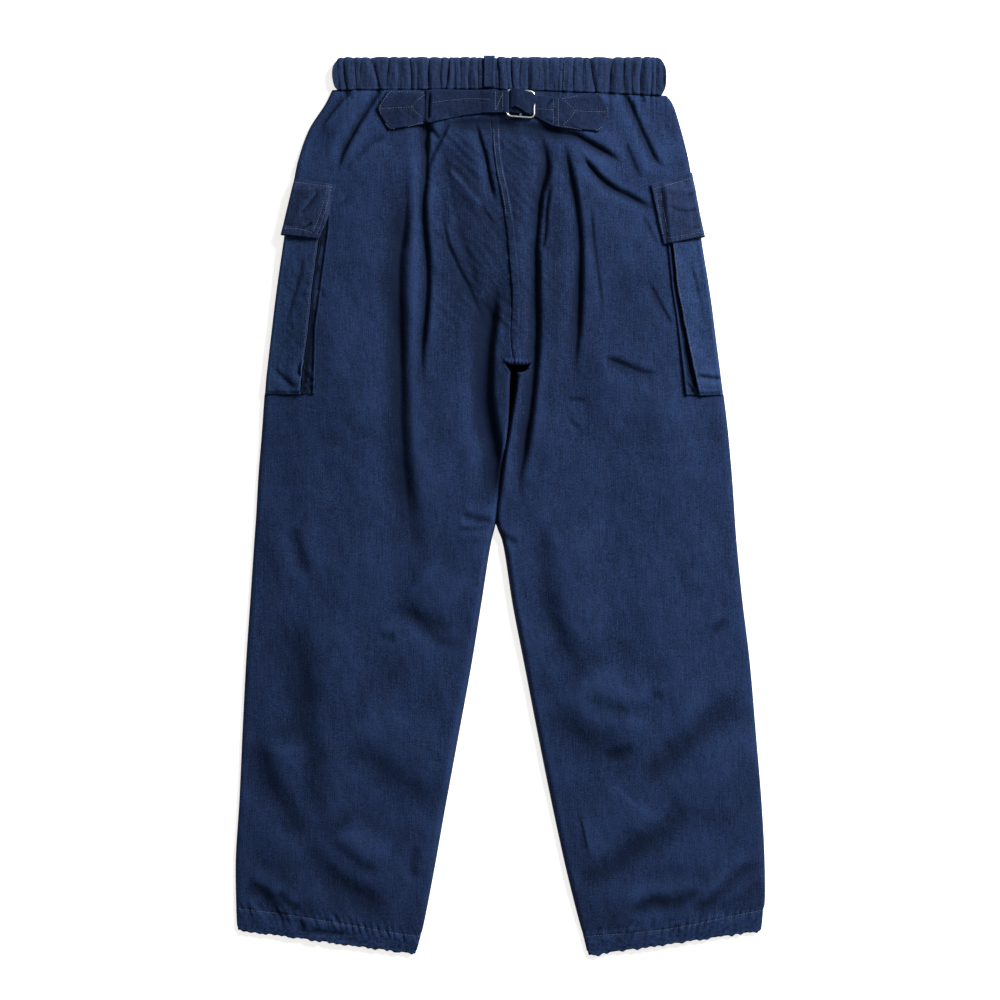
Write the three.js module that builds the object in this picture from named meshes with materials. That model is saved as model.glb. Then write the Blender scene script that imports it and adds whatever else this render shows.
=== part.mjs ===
// A pair of trousers laid flat with its back up, in millimetres.
// X runs across the hips, Y from the hems to the waist and Z up from the surface that it lies on.
import * as THREE from "three";

// Cloth, seams and layers
const CLOTH = 1.2;
const BAND_CLOTH = 2;
const HEM_CLOTH = 2.2;
const SEAM_GAP = 0.3;
const LAYER = CLOTH + SEAM_GAP;
const CLOSE_CLEARANCE = 0.1;
const LIFT_CLEARANCE = 0.25;
const STRAP_CLEARANCE = 0.2;
const FLAP_CLEARANCE = 0.4;

// Waistband: an elastic casing, gathered on the back half
const WAIST_TOP_Y = 491.5;
const WAIST_LEFT = [-184, 456.8];
const WAIST_CENTRE = [-11, 458.2];
const WAIST_RIGHT = [182.5, 450.8];
const WAIST_END_BULGE = 3;
const GATHER_COUNT = 40;
const GATHER_STEPS = 3;
const GATHER_HEIGHT = 1.7;
const GATHER_UNEVENNESS = 0.55;
const GATHER_DRIFT_RATE = 31;
const GATHER_FAST_DRIFT_RATE = 67;
const GATHER_HEIGHT_RATE = 53;
const GATHER_EDGE_HEIGHT = 0.55;
const BAND_BACK_UPS = [0, 0.33, 0.67, 1];
const BAND_FRONT_UPS = [0, 0.5, 1];
const BAND_FRONT_COLUMNS = 12;

// Height of the back panels over the front ones
const EDGE_ROLL = 7;
const INNER_ROLL_START_Y = 165;
const INNER_ROLL_FULL_Y = 140;
const LEAST_LOFT = 0.35;
const LEGS_APART = 11;
const SIDE_LOFT = 0.3;
const SIDE_FLATNESS = 85;
const FRONT_MEETING_GAP = 0.7 * SEAM_GAP;

// Folds: points traced from one given point to the next, and the shares of a fold over which it fades
const TRACE_STEPS = 12;
const FOLD_FADE_IN = 0.15;
const FOLD_FADE_OUT = 0.22;
const WAIST_FOLD_Y = 440;

// Columns across a leg: the shares nearest to its side edge and to its inner edge
const SIDE_SHARES = [0, 0.012, 0.03];
const INNER_SHARES = [0.975, 0.99, 1];
const COLUMN_EASE = 0.2;

// Side pockets, which wrap the side edge, and their flaps
const POCKET_FRONT_REACH = 105;
const FLAP_FRONT_REACH = 112;
const WRAP_STEPS = 5;
const WRAP_ARC_STEPS = 4;
const WRAP_CLEARANCE = 4;
const WRAP_TURN = 3.4;
const LIFT = { margin: 18, ramp: 30 };
const POCKET_INSET = { margin: 2, ramp: 14 };
const FLAP_INSET = { margin: 16, ramp: 20 };
const UNDER_FLAP = { margin: 8, ramp: 20 };
const POCKET_REST_REACH = 3;
const FLAP_REST_REACH = 7;
const FACE_RISE_REACH = 30;
const FACE_RISE = 1.6;
const POCKET_ROWS = 11;

// Cinch buckle: a flat frame with a centre bar
const BUCKLE_LEFT = 6.6;
const BUCKLE_RIGHT = 38.5;
const BUCKLE_LOW_Y = 426.5;
const BUCKLE_HIGH_Y = 457.3;
const BUCKLE_WIRE = 2.2;
const BUCKLE_BEVEL = 0.5;
const BUCKLE_CORNER = 4.5;
const BUCKLE_Z = 14.5;
const STRAP_BAR_REACH = BUCKLE_WIRE / 2 + SEAM_GAP + CLOTH / 2 + CLOSE_CLEARANCE;

// Rows of each leg from the waist to the hem: its side edge, its inner edge and the steps to the next row
const LEFT_ROWS = [
  { side: [-184, 456.5], inner: [-11.2, 457.9], steps: 2 },
  { side: [-191, 442], inner: [-11.2, 433], steps: 3 },
  { side: [-209.5, 413], inner: [-8.5, 404], steps: 3 },
  { side: [-221, 380], inner: [-5, 371], steps: 2 },
  { side: [-227.5, 347], inner: [1.1, 338], steps: 2 },
  { side: [-234, 314], inner: [5.6, 308], steps: 2 },
  { side: [-239, 281], inner: [9.4, 275], steps: 2 },
  { side: [-246, 232], inner: [13.4, 228], steps: 2 },
  { side: [-252, 182], inner: [11.4, 184], steps: 2 },
  { side: [-256.5, 144], inner: [15, 151], steps: 2 },
  { side: [-259, 116], inner: [14.3, 125], steps: 1 },
  { side: [-261, 83], inner: [10, 89], steps: 2 },
  { side: [-265, 34], inner: [2.6, 39], steps: 2 },
  { side: [-267.5, -10], inner: [-3.8, -16], steps: 1 },
  { side: [-269.5, -38], inner: [-10.5, -40], steps: 2 },
  { side: [-274, -104], inner: [-21, -108], steps: 1 },
  { side: [-278.5, -170], inner: [-32, -176], steps: 2 },
  { side: [-283, -258], inner: [-48.5, -266], steps: 1 },
  { side: [-286, -324], inner: [-61.5, -337], steps: 2 },
  { side: [-290, -390], inner: [-74, -407], steps: 1 },
  { side: [-289.5, -438], inner: [-86, -467], steps: 1 },
  { side: [-289.3, -442], inner: [-87.5, -471], steps: 1 },
  { side: [-288, -466], inner: [-93, -492.5], steps: 0 },
];
const RIGHT_ROWS = [
  { side: [182.5, 450.5], inner: [-10.8, 457.9], steps: 2 },
  { side: [189, 442], inner: [-10.8, 433], steps: 3 },
  { side: [198.5, 413], inner: [-8.1, 404], steps: 3 },
  { side: [206.5, 380], inner: [-4.6, 371], steps: 2 },
  { side: [212, 347], inner: [1.5, 338], steps: 2 },
  { side: [218, 314], inner: [6, 308], steps: 2 },
  { side: [223, 281], inner: [9.8, 275], steps: 2 },
  { side: [231, 232], inner: [13.8, 228], steps: 2 },
  { side: [237.5, 182], inner: [11.8, 184], steps: 2 },
  { side: [242.5, 144], inner: [19.5, 150], steps: 2 },
  { side: [246.5, 116], inner: [23.7, 125], steps: 1 },
  { side: [250, 83], inner: [16.5, 89], steps: 2 },
  { side: [254.5, 34], inner: [5.9, 39], steps: 2 },
  { side: [257.5, -10], inner: [0.2, -18], steps: 1 },
  { side: [259.5, -38], inner: [3.3, -40], steps: 2 },
  { side: [266, -104], inner: [14.3, -108], steps: 1 },
  { side: [274, -170], inner: [27.5, -176], steps: 2 },
  { side: [281.5, -258], inner: [45, -266], steps: 1 },
  { side: [287, -324], inner: [59.5, -337], steps: 2 },
  { side: [290.5, -390], inner: [75, -407], steps: 1 },
  { side: [290.3, -439], inner: [90.5, -467], steps: 1 },
  { side: [289, -443], inner: [92, -471], steps: 1 },
  { side: [286.5, -467], inner: [97.5, -494], steps: 0 },
];
const HEM_ROW = 21;

// Loft of the back panels between their folds, down the length of the legs
const LOFT = [
  { y: 458, rise: 3.4 },
  { y: 400, rise: 5.4 },
  { y: 250, rise: 5.6 },
  { y: 120, rise: 4.6 },
  { y: -40, rise: 3.4 },
  { y: -250, rise: 3 },
  { y: -430, rise: 2.2 },
  { y: -495, rise: 0.9 },
];

// The largest folds. A path runs down the leg, or from left to right. Each fold has a soft trough and
// a shoulder on each side of it, with a height and a width; a trough below 0 is a ridge.
const FOLDS = [
  // Left side, from the waist down
  {
    path: [[-165, 455], [-176, 443], [-200, 413]],
    trough: 1.5, spread: 6, left: [1, 9], right: [2, 10],
  },
  {
    path: [[-134, 454], [-147, 433], [-161, 409], [-173, 384], [-179, 362]],
    trough: 2.2, spread: 6, left: [2, 11], right: [2.4, 12],
  },
  {
    path: [[-79, 452], [-80, 415], [-82, 363], [-84, 330], [-80, 270], [-79, 242], [-85, 169], [-84, 120]],
    trough: 3.4, spread: 6, left: [2.6, 13], right: [4, 14],
  },
  {
    path: [[-106, 393], [-104, 320], [-111, 262], [-109, 205], [-108, 83], [-104, 26], [-92, -49], [-78, -82]],
    trough: 4.2, spread: 9, left: [1.4, 20], right: [0.6, 12],
  },
  {
    path: [[-28, 424], [-21, 400], [-15, 381], [-11, 356], [-5, 328]],
    trough: 2.6, spread: 5, left: [2.6, 11], right: [1, 7],
  },
  {
    path: [[-60, 372], [-46, 356], [-34, 341], [-21, 329], [-10, 321]],
    trough: -2.4, spread: 6, left: [0, 9], right: [0, 9],
  },
  {
    path: [[-56, 278], [-43, 265], [-29, 247], [-22, 225], [-17, 205]],
    trough: 1.6, spread: 6, left: [0.4, 9], right: [2, 10],
  },
  {
    path: [[1, 310], [1, 242], [-12, 169], [-16, 132], [-12, 83], [-6, 39]],
    trough: 4.6, spread: 10, left: [2.2, 20], right: [0.4, 9],
  },
  // Right side, from the waist down
  {
    path: [
      [31, 424], [47, 394], [51, 367], [44, 337], [41, 282],
      [45, 250], [42, 169], [34, 83], [31, 17], [36, -8],
    ],
    trough: 4.4, spread: 7, left: [4, 14], right: [3.6, 14],
  },
  {
    path: [[67, 406], [77, 363], [85, 315], [88, 260], [85, 196], [77, 134]],
    trough: 3, spread: 6, left: [2.2, 12], right: [3, 13],
  },
  {
    path: [[38, 420], [53, 414], [68, 408], [82, 406], [96, 399], [113, 389], [135, 373]],
    trough: 2.6, spread: 5, left: [1.6, 9], right: [2.2, 10],
  },
  {
    path: [[88, 385], [101, 369], [114, 355], [128, 345], [143, 338], [162, 332]],
    trough: 2, spread: 5, left: [1, 9], right: [1.8, 10],
  },
  {
    path: [[139, 448], [148, 428], [159, 403], [170, 380], [182, 368]],
    trough: 2.4, spread: 6, left: [1.6, 10], right: [2.2, 11],
  },
  // Left leg
  {
    path: [[-235, -106], [-223, -163], [-219, -192], [-216, -250], [-208, -300], [-200, -335]],
    trough: 2.4, spread: 12, left: [1, 18], right: [1.6, 20],
  },
  {
    path: [[-218, -354], [-213, -379], [-202, -402], [-179, -420]],
    trough: 1.8, spread: 9, left: [1, 12], right: [1.4, 14],
  },
  {
    path: [[-179, -255], [-136, -279], [-115, -297], [-96, -324]],
    trough: 1.8, spread: 10, left: [1, 14], right: [1, 14],
  },
  // Right leg
  {
    path: [[47, -30], [45, -87], [55, -125], [66, -153], [95, -192]],
    trough: 2, spread: 9, left: [0.6, 12], right: [1.4, 16],
  },
  {
    path: [[153, -308], [181, -280], [208, -256], [236, -231], [265, -218]],
    trough: 2.2, spread: 11, left: [1.6, 16], right: [1.2, 16],
  },
  {
    path: [[79, -407], [106, -405], [133, -389], [152, -373], [180, -356], [189, -324]],
    trough: 1.8, spread: 10, left: [1, 14], right: [1.4, 14],
  },
];

// Side pockets. Each row gives the edge of the pocket's face and the line where its gusset is sewn down
const POCKETS = {
  left: {
    rows: [
      { y: 345, face: -191, gusset: -184.5 },
      { y: 302, face: -197, gusset: -186.6 },
      { y: 242, face: -205.7, gusset: -194.7 },
      { y: 196, face: -210, gusset: -201 },
      { y: 142, face: -217.5, gusset: -202.5 },
      { y: 122, face: -219, gusset: -203 },
    ],
    flap: [
      { side: [-226, 358], inner: [-180, 351] },
      { side: [-229, 345], inner: [-182, 340] },
      { side: [-235, 320], inner: [-187, 318] },
      { side: [-240.5, 297], inner: [-198, 291.5] },
    ],
  },
  right: {
    rows: [
      { y: 345, face: 184.5, gusset: 178 },
      { y: 298, face: 188, gusset: 183 },
      { y: 242, face: 193.5, gusset: 188.5 },
      { y: 196, face: 202.5, gusset: 195 },
      { y: 150, face: 212, gusset: 200.5 },
      { y: 121, face: 219, gusset: 203.5 },
    ],
    flap: [
      { side: [211, 365], inner: [165, 351.5] },
      { side: [214, 350], inner: [168, 339] },
      { side: [219.5, 320], inner: [173.5, 312] },
      { side: [225, 294.5], inner: [179.5, 286] },
    ],
  },
};
const FLAP_STEPS = 2;

// Cinch straps from the sewn, pointed end to the buckle: low and high edge, and how far it bridges
const STRAP_LEFT = [
  { x: -133.5, low: 434, high: 436.5, bridge: 0 },
  { x: -121.5, low: 411.8, high: 456, bridge: 0 },
  { x: -102, low: 414.8, high: 455.4, bridge: 0 },
  { x: -83, low: 418, high: 454.6, bridge: 0 },
  { x: -75, low: 419.4, high: 455.8, bridge: 0.2 },
  { x: -58, low: 423.4, high: 456, bridge: 0.5 },
  { x: -40, low: 427.4, high: 455.4, bridge: 0.75 },
  { x: -20, low: 430, high: 454.8, bridge: 0.92 },
];
const STRAP_RIGHT = [
  { x: 119.4, low: 430.2, high: 432.6, bridge: 0 },
  { x: 108.5, low: 409.8, high: 452.4, bridge: 0 },
  { x: 88, low: 411.7, high: 449.8, bridge: 0 },
  { x: 68, low: 413.5, high: 447.4, bridge: 0.15 },
  { x: 57, low: 416, high: 448, bridge: 0.45 },
  { x: 47, low: 421.5, high: 449.5, bridge: 0.8 },
];
const STRAP_BUCKLE_LOW = 430.3;
const STRAP_BUCKLE_HIGH = 453.9;
const STRAP_STEPS = 4;
const STRAP_REST_REACH = 7;

// Belt loop at the centre of the back
const LOOP_LEFT = -17.6;
const LOOP_RIGHT = -5.5;
const LOOP_TOP_Y = 494;
const LOOP_LOW_Y = 460;
const LOOP_STATIONS = [0, 0.2, 0.4, 0.6, 0.8, 0.9, 0.96, 1];
const LOOP_REST = { x: -11, y: 475, reach: 8 };
const LOOP_DROP = 2.2;

const INDIGO = 0x22304f;
const INDIGO_LIGHT = 0x26355a;
const INDIGO_DARK = 0x1f2b46;
const NICKEL = 0xd6d3cc;

const clamp01 = (value) => Math.min(1, Math.max(0, value));
const ease = (value) => clamp01(value) ** 2 * (3 - 2 * clamp01(value));
const mix = (a, b, share) => a + (b - a) * share;

// Value of a table's column at a place, straight between its rows, which run down in `key`
function valueAt(table, key, column, place) {
  const last = table.length - 1;
  if (place >= table[0][key]) return table[0][column];
  for (let i = 0; i < last; i += 1) {
    const upper = table[i];
    const lower = table[i + 1];
    if (place >= lower[key]) {
      return mix(lower[column], upper[column], (place - lower[key]) / (upper[key] - lower[key]));
    }
  }
  return table[last][column];
}

// A fold's path as close points with their direction and share of its length
function tracePath(points) {
  const curve = new THREE.CatmullRomCurve3(points.map(([x, y]) => new THREE.Vector3(x, y, 0)));
  const count = points.length * TRACE_STEPS;
  return Array.from({ length: count + 1 }, (_, i) => {
    const at = curve.getPoint(i / count);
    const along = curve.getTangent(i / count);
    return { x: at.x, y: at.y, alongX: along.x, alongY: along.y, share: i / count };
  });
}

const foldLines = FOLDS.map((fold) => ({
  ...fold,
  line: tracePath(fold.path),
  fromWaist: fold.path[0][1] > WAIST_FOLD_Y,
}));

// A shoulder that rises from the fold's line to `height` at `width`, then dies away
function shoulder([height, width], distance) {
  const share = distance / width;
  return height * share * Math.exp((1 - share * share) / 2);
}

// Height that all folds add at a place
function foldHeight(x, y) {
  return foldLines.reduce((sum, fold) => {
    let nearest = fold.line[0];
    let least = Infinity;
    for (const point of fold.line) {
      const distance = Math.hypot(x - point.x, y - point.y);
      if (distance < least) {
        least = distance;
        nearest = point;
      }
    }
    const start = fold.fromWaist ? 1 : ease(nearest.share / FOLD_FADE_IN);
    const fade = start * ease((1 - nearest.share) / FOLD_FADE_OUT);
    const turn = nearest.alongX * (y - nearest.y) - nearest.alongY * (x - nearest.x);
    const flank = turn > 0 ? fold.right : fold.left;
    const trough = fold.trough * Math.exp(-((least / fold.spread) ** 2));
    return sum + fade * (shoulder(flank, least) - trough);
  }, 0);
}

// A closed wall around a grid of middle points, `thickness(row)` thick
function wall(grid, thickness) {
  const rows = grid.length;
  const columns = grid[0].length;
  const positions = new Float32Array(rows * columns * 6);
  const side = rows * columns;
  const at = (row, column) => row * columns + column;
  for (let i = 0; i < rows; i += 1) {
    for (let j = 0; j < columns; j += 1) {
      const across = new THREE.Vector3().subVectors(
        grid[i][Math.min(j + 1, columns - 1)],
        grid[i][Math.max(j - 1, 0)],
      );
      const down = new THREE.Vector3().subVectors(
        grid[Math.min(i + 1, rows - 1)][j],
        grid[Math.max(i - 1, 0)][j],
      );
      const normal = across.cross(down).normalize().multiplyScalar(thickness(i) / 2);
      new THREE.Vector3().addVectors(grid[i][j], normal).toArray(positions, at(i, j) * 3);
      new THREE.Vector3().subVectors(grid[i][j], normal).toArray(positions, (side + at(i, j)) * 3);
    }
  }
  const faces = [];
  for (let i = 0; i + 1 < rows; i += 1) {
    for (let j = 0; j + 1 < columns; j += 1) {
      const [a, b, c, d] = [at(i, j), at(i, j + 1), at(i + 1, j + 1), at(i + 1, j)];
      faces.push(a, b, c, a, c, d);
      faces.push(side + a, side + c, side + b, side + a, side + d, side + c);
    }
  }
  const rim = [];
  for (let j = 0; j + 1 < columns; j += 1) {
    rim.push([at(0, j), at(0, j + 1)], [at(rows - 1, j + 1), at(rows - 1, j)]);
  }
  for (let i = 0; i + 1 < rows; i += 1) {
    rim.push([at(i, columns - 1), at(i + 1, columns - 1)], [at(i + 1, 0), at(i, 0)]);
  }
  rim.forEach(([p, q]) => faces.push(q, p, side + p, q, side + p, side + q));
  const geometry = new THREE.BufferGeometry();
  geometry.setAttribute("position", new THREE.BufferAttribute(positions, 3));
  geometry.setIndex(faces);
  geometry.computeVertexNormals();
  return geometry;
}

// Height of a grid's middle surface at a place, or nothing outside it
function heightOn(grid, x, y) {
  for (let i = 0; i + 1 < grid.length; i += 1) {
    for (let j = 0; j + 1 < grid[0].length; j += 1) {
      const corners = [grid[i][j], grid[i][j + 1], grid[i + 1][j + 1], grid[i + 1][j]];
      for (const [a, b, c] of [[0, 1, 2], [0, 2, 3]].map((trio) => trio.map((k) => corners[k]))) {
        const whole = (b.x - a.x) * (c.y - a.y) - (c.x - a.x) * (b.y - a.y);
        const second = ((x - a.x) * (c.y - a.y) - (c.x - a.x) * (y - a.y)) / whole;
        const third = ((b.x - a.x) * (y - a.y) - (x - a.x) * (b.y - a.y)) / whole;
        if (second >= 0 && third >= 0 && second + third <= 1) {
          return a.z + second * (b.z - a.z) + third * (c.z - a.z);
        }
      }
    }
  }
  return -Infinity;
}

// Highest point of some grids' middle surfaces near a place
function highestNear(grids, x, y, reach) {
  let highest = -Infinity;
  for (const dx of [-reach, 0, reach]) {
    for (const dy of [-reach, 0, reach]) {
      for (const grid of grids) {
        highest = Math.max(highest, heightOn(grid, x + dx, y + dy));
      }
    }
  }
  return highest;
}

// Columns across a leg, closer at its two edges; every third one is shared with the front panel
const COLUMNS = [...SIDE_SHARES];
const MIDDLE_COLUMNS = 15;
for (let i = 1; i < MIDDLE_COLUMNS; i += 1) {
  const share = i / MIDDLE_COLUMNS;
  const eased = share * (1 + COLUMN_EASE) - share * share * COLUMN_EASE;
  COLUMNS.push(mix(SIDE_SHARES[2], INNER_SHARES[0], eased));
}
COLUMNS.push(...INNER_SHARES);
const FRONT_COLUMNS = [0, 2, 5, 8, 11, 14, 17, COLUMNS.length - 1];

// Rows of a leg's grid: side edge, inner edge and whether the row lies in the hem
function legRows(table) {
  const sides = new THREE.CatmullRomCurve3(table.map(({ side: [x, y] }) => new THREE.Vector3(x, y, 0)));
  const inners = new THREE.CatmullRomCurve3(table.map(({ inner: [x, y] }) => new THREE.Vector3(x, y, 0)));
  const last = table.length - 1;
  const rows = [];
  table.forEach(({ steps }, index) => {
    for (let step = 0; step < Math.max(steps, 1); step += 1) {
      const place = (index + step / Math.max(steps, 1)) / last;
      rows.push({ side: sides.getPoint(place), inner: inners.getPoint(place), hem: index >= HEM_ROW });
    }
  });
  return rows;
}

// Lowest and highest place of a pocket and of its flap
function wrapSpans(pocket) {
  const flapEnd = pocket.flap[pocket.flap.length - 1];
  return {
    pocket: [pocket.rows[pocket.rows.length - 1].y, pocket.rows[0].y],
    flap: [flapEnd.inner[1], pocket.flap[0].side[1]],
  };
}

// 1 inside a span, falling to 0 over a ramp that starts `margin` past its ends
function near([low, high], y, { margin, ramp }) {
  return clamp01(1 - (Math.max(low - y, y - high, 0) - margin) / ramp);
}

// How far the pocket and the flap inside the fold push the side edge in, at a height on the leg
function wrapInset(pocket, y) {
  const spans = wrapSpans(pocket);
  return WRAP_CLEARANCE * (near(spans.pocket, y, POCKET_INSET) + near(spans.flap, y, FLAP_INSET));
}

// How far the layers of pocket and flap on the surface lift the front panel
function wrapLift(pocket, fromSide, y) {
  const spans = wrapSpans(pocket);
  const layer = (span, reach) => (
    (LAYER + LIFT_CLEARANCE) * near(span, y, LIFT) * near([0, reach], fromSide, LIFT)
  );
  return layer(spans.pocket, POCKET_FRONT_REACH) + layer(spans.flap, FLAP_FRONT_REACH);
}

// Inner edge of a front panel: where the legs lie against each other the two fronts meet halfway
function frontInner(inner, otherInner, outward) {
  if (Math.abs(inner.x - otherInner.x) > LEGS_APART) return inner;
  const meeting = (inner.x + otherInner.x) / 2 + outward * FRONT_MEETING_GAP;
  return new THREE.Vector3(meeting, inner.y, 0);
}

// The middle grids of one leg's front and back panel
function legGrids(table, otherTable, pocket, outward) {
  const rows = legRows(table);
  const otherRows = legRows(otherTable);
  const front = [];
  const back = [];
  rows.forEach(({ side, inner, hem }, row) => {
    const cloth = hem ? HEM_CLOTH : CLOTH;
    const edge = side.clone();
    edge.x -= outward * wrapInset(pocket, side.y);
    const meeting = frontInner(inner, otherRows[row].inner, outward);
    const lifts = FRONT_COLUMNS.map((column) => {
      const at = new THREE.Vector3().lerpVectors(edge, inner, COLUMNS[column]);
      return wrapLift(pocket, Math.abs(at.x - edge.x), at.y);
    });
    front.push(FRONT_COLUMNS.map((column, i) => {
      const at = new THREE.Vector3().lerpVectors(edge, meeting, COLUMNS[column]);
      return at.setZ(cloth / 2 + lifts[i]);
    }));
    back.push(COLUMNS.map((share, index) => {
      const at = new THREE.Vector3().lerpVectors(edge, inner, share);
      const next = Math.max(1, FRONT_COLUMNS.findIndex((column) => column >= index));
      const [from, to] = [COLUMNS[FRONT_COLUMNS[next - 1]], COLUMNS[FRONT_COLUMNS[next]]];
      const lift = mix(lifts[next - 1], lifts[next], (share - from) / (to - from));
      const onSide = clamp01(Math.abs(at.x - edge.x) / EDGE_ROLL);
      const onInner = clamp01(Math.abs(at.x - inner.x) / EDGE_ROLL);
      const innerRoll = ease((INNER_ROLL_START_Y - at.y) / (INNER_ROLL_START_Y - INNER_ROLL_FULL_Y));
      const roll = Math.sqrt(1 - (1 - onSide) ** 2) * mix(1, Math.sqrt(1 - (1 - onInner) ** 2), innerRoll);
      const flat = mix(SIDE_LOFT, 1, ease(Math.abs(at.x - edge.x) / SIDE_FLATNESS));
      const rise = Math.max(0, valueAt(LOFT, "y", "rise", at.y) * flat + foldHeight(at.x, at.y));
      return at.setZ(lift + cloth * 1.5 + SEAM_GAP + LEAST_LOFT + roll * rise);
    }));
  });
  const thickness = (row) => (rows[row].hem ? HEM_CLOTH : CLOTH);
  return { front, back, thickness };
}

// One grid point on the waistband: `across` from its left end, `up` from its lower edge
function waistPoint(across, up, z) {
  const [leftX, leftY] = WAIST_LEFT;
  const [rightX, rightY] = WAIST_RIGHT;
  const bulge = WAIST_END_BULGE * Math.sin(Math.PI * up) * (2 * across - 1);
  const x = mix(leftX, rightX, across) + bulge;
  const [centreX, centreY] = WAIST_CENTRE;
  const low = x < centreX
    ? mix(leftY, centreY, (x - leftX) / (centreX - leftX))
    : mix(centreY, rightY, (x - centreX) / (rightX - centreX));
  return new THREE.Vector3(x, mix(low, WAIST_TOP_Y, up), z);
}

// Rise of the gathers across the back waistband, uneven in height and spacing
function gatherRise(across) {
  const slow = Math.sin(across * GATHER_DRIFT_RATE);
  const fast = Math.sin(across * GATHER_FAST_DRIFT_RATE + 1.3);
  const drift = GATHER_UNEVENNESS * (slow + 0.7 * fast);
  const wave = 0.5 - 0.5 * Math.cos(2 * Math.PI * GATHER_COUNT * across + drift);
  const height = 0.75 + 0.25 * Math.sin(across * GATHER_HEIGHT_RATE + 0.6);
  return GATHER_HEIGHT * height * wave;
}

function waistbandGrid(columns, ups, heightAt) {
  return ups.map((up) => Array.from({ length: columns + 1 }, (_, j) => {
    const across = j / columns;
    return waistPoint(across, up, heightAt(across, up));
  }));
}

// A pocket or flap that lies on the back panel, turns round the side edge and lies on the surface
function wrapGrid(rows, outward) {
  return rows.map(({ side, inner, top, low, frontReach }) => {
    const fold = side.x - outward * CLOTH / 2;
    const topAtEdge = top(fold - outward * (WRAP_CLEARANCE + 1), side.y);
    const radius = (topAtEdge - low) / 2;
    const reach = Math.min(radius, WRAP_TURN);
    const turn = fold - outward * reach;
    const points = [];
    for (let i = 0; i < WRAP_STEPS; i += 1) {
      const share = i / WRAP_STEPS;
      const x = mix(inner.x, turn, share);
      const y = mix(inner.y, side.y, share);
      points.push(new THREE.Vector3(x, y, Math.max(top(x, y), topAtEdge)));
    }
    for (let i = 0; i <= WRAP_ARC_STEPS; i += 1) {
      const angle = Math.PI * (i / WRAP_ARC_STEPS);
      const x = turn + outward * reach * Math.sin(angle);
      points.push(new THREE.Vector3(x, side.y, low + radius + radius * Math.cos(angle)));
    }
    for (let i = 1; i <= WRAP_STEPS; i += 1) {
      const x = mix(turn, side.x - outward * frontReach, i / WRAP_STEPS);
      points.push(new THREE.Vector3(x, mix(side.y, inner.y, i / WRAP_STEPS), low));
    }
    return points;
  });
}

// Side edge of a leg at a height
function sideAt(table, y) {
  return valueAt(table.map(({ side: [x, at] }) => ({ x, at })), "at", "x", y);
}

function pocketGrids(table, pocket, back, outward) {
  const spans = wrapSpans(pocket);
  const onPanel = (x, y) => highestNear([back], x, y, POCKET_REST_REACH) + LAYER + CLOSE_CLEARANCE;
  const rows = [];
  const gusset = [];
  for (let i = 0; i <= POCKET_ROWS; i += 1) {
    const y = mix(spans.pocket[1], spans.pocket[0], i / POCKET_ROWS);
    const face = valueAt(pocket.rows, "y", "face", y);
    const seam = valueAt(pocket.rows, "y", "gusset", y);
    const underFlap = near(spans.flap, y, UNDER_FLAP);
    const faceRise = (x) => FACE_RISE * clamp01(1 - Math.abs(x - face) / FACE_RISE_REACH);
    const fold = sideAt(table, y) - outward * (WRAP_CLEARANCE * underFlap);
    rows.push({
      side: new THREE.Vector3(fold, y, 0),
      inner: new THREE.Vector3(face, y, 0),
      top: (x, at) => onPanel(x, at) + faceRise(x),
      low: CLOTH / 2 + (LAYER + CLOSE_CLEARANCE) * underFlap,
      frontReach: POCKET_FRONT_REACH,
    });
    const edge = face - outward * SEAM_GAP;
    gusset.push([0, 0.5, 1].map((share) => {
      const x = mix(seam, edge, share);
      return new THREE.Vector3(x, y, onPanel(x, y) + (FACE_RISE - 2 * CLOSE_CLEARANCE) * share);
    }));
  }
  return { face: wrapGrid(rows, outward), gusset };
}

function flapGrid(pocket, back, pocketFace, gusset, outward) {
  const rows = [];
  const backPart = pocketFace.map((row) => row.slice(0, WRAP_STEPS + 1));
  pocket.flap.forEach(({ side, inner }, index) => {
    const next = pocket.flap[index + 1];
    const steps = next ? FLAP_STEPS : 1;
    for (let step = 0; step < steps; step += 1) {
      const share = step / steps;
      const target = next || pocket.flap[index];
      const sideY = mix(side[1], target.side[1], share);
      const innerX = mix(inner[0], target.inner[0], share);
      rows.push({
        side: new THREE.Vector3(mix(side[0], target.side[0], share), sideY, 0),
        inner: new THREE.Vector3(innerX, mix(inner[1], target.inner[1], share), 0),
        top: (x, y) => highestNear([back, backPart, gusset], x, y, FLAP_REST_REACH) + LAYER + FLAP_CLEARANCE,
        low: CLOTH / 2,
        frontReach: FLAP_FRONT_REACH,
      });
    }
  });
  return wrapGrid(rows, outward);
}

// The cinch strap's middle grid: sewn flat at its point, then bridging to the buckle, then round a bar
function strapGrid(stations, carriers, bars) {
  const grid = stations.map(({ x, low, high, bridge }) => (
    Array.from({ length: STRAP_STEPS + 1 }, (_, j) => {
      const y = mix(low, high, j / STRAP_STEPS);
      const resting = highestNear(carriers, x, y, STRAP_REST_REACH) + LAYER + STRAP_CLEARANCE;
      return new THREE.Vector3(x, y, Math.max(resting, mix(resting, BUCKLE_Z - 1, bridge)));
    })
  ));
  bars.forEach(([x, z]) => {
    grid.push(Array.from({ length: STRAP_STEPS + 1 }, (_, j) => (
      new THREE.Vector3(x, mix(STRAP_BUCKLE_LOW, STRAP_BUCKLE_HIGH, j / STRAP_STEPS), z)
    )));
  });
  return grid;
}

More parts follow.
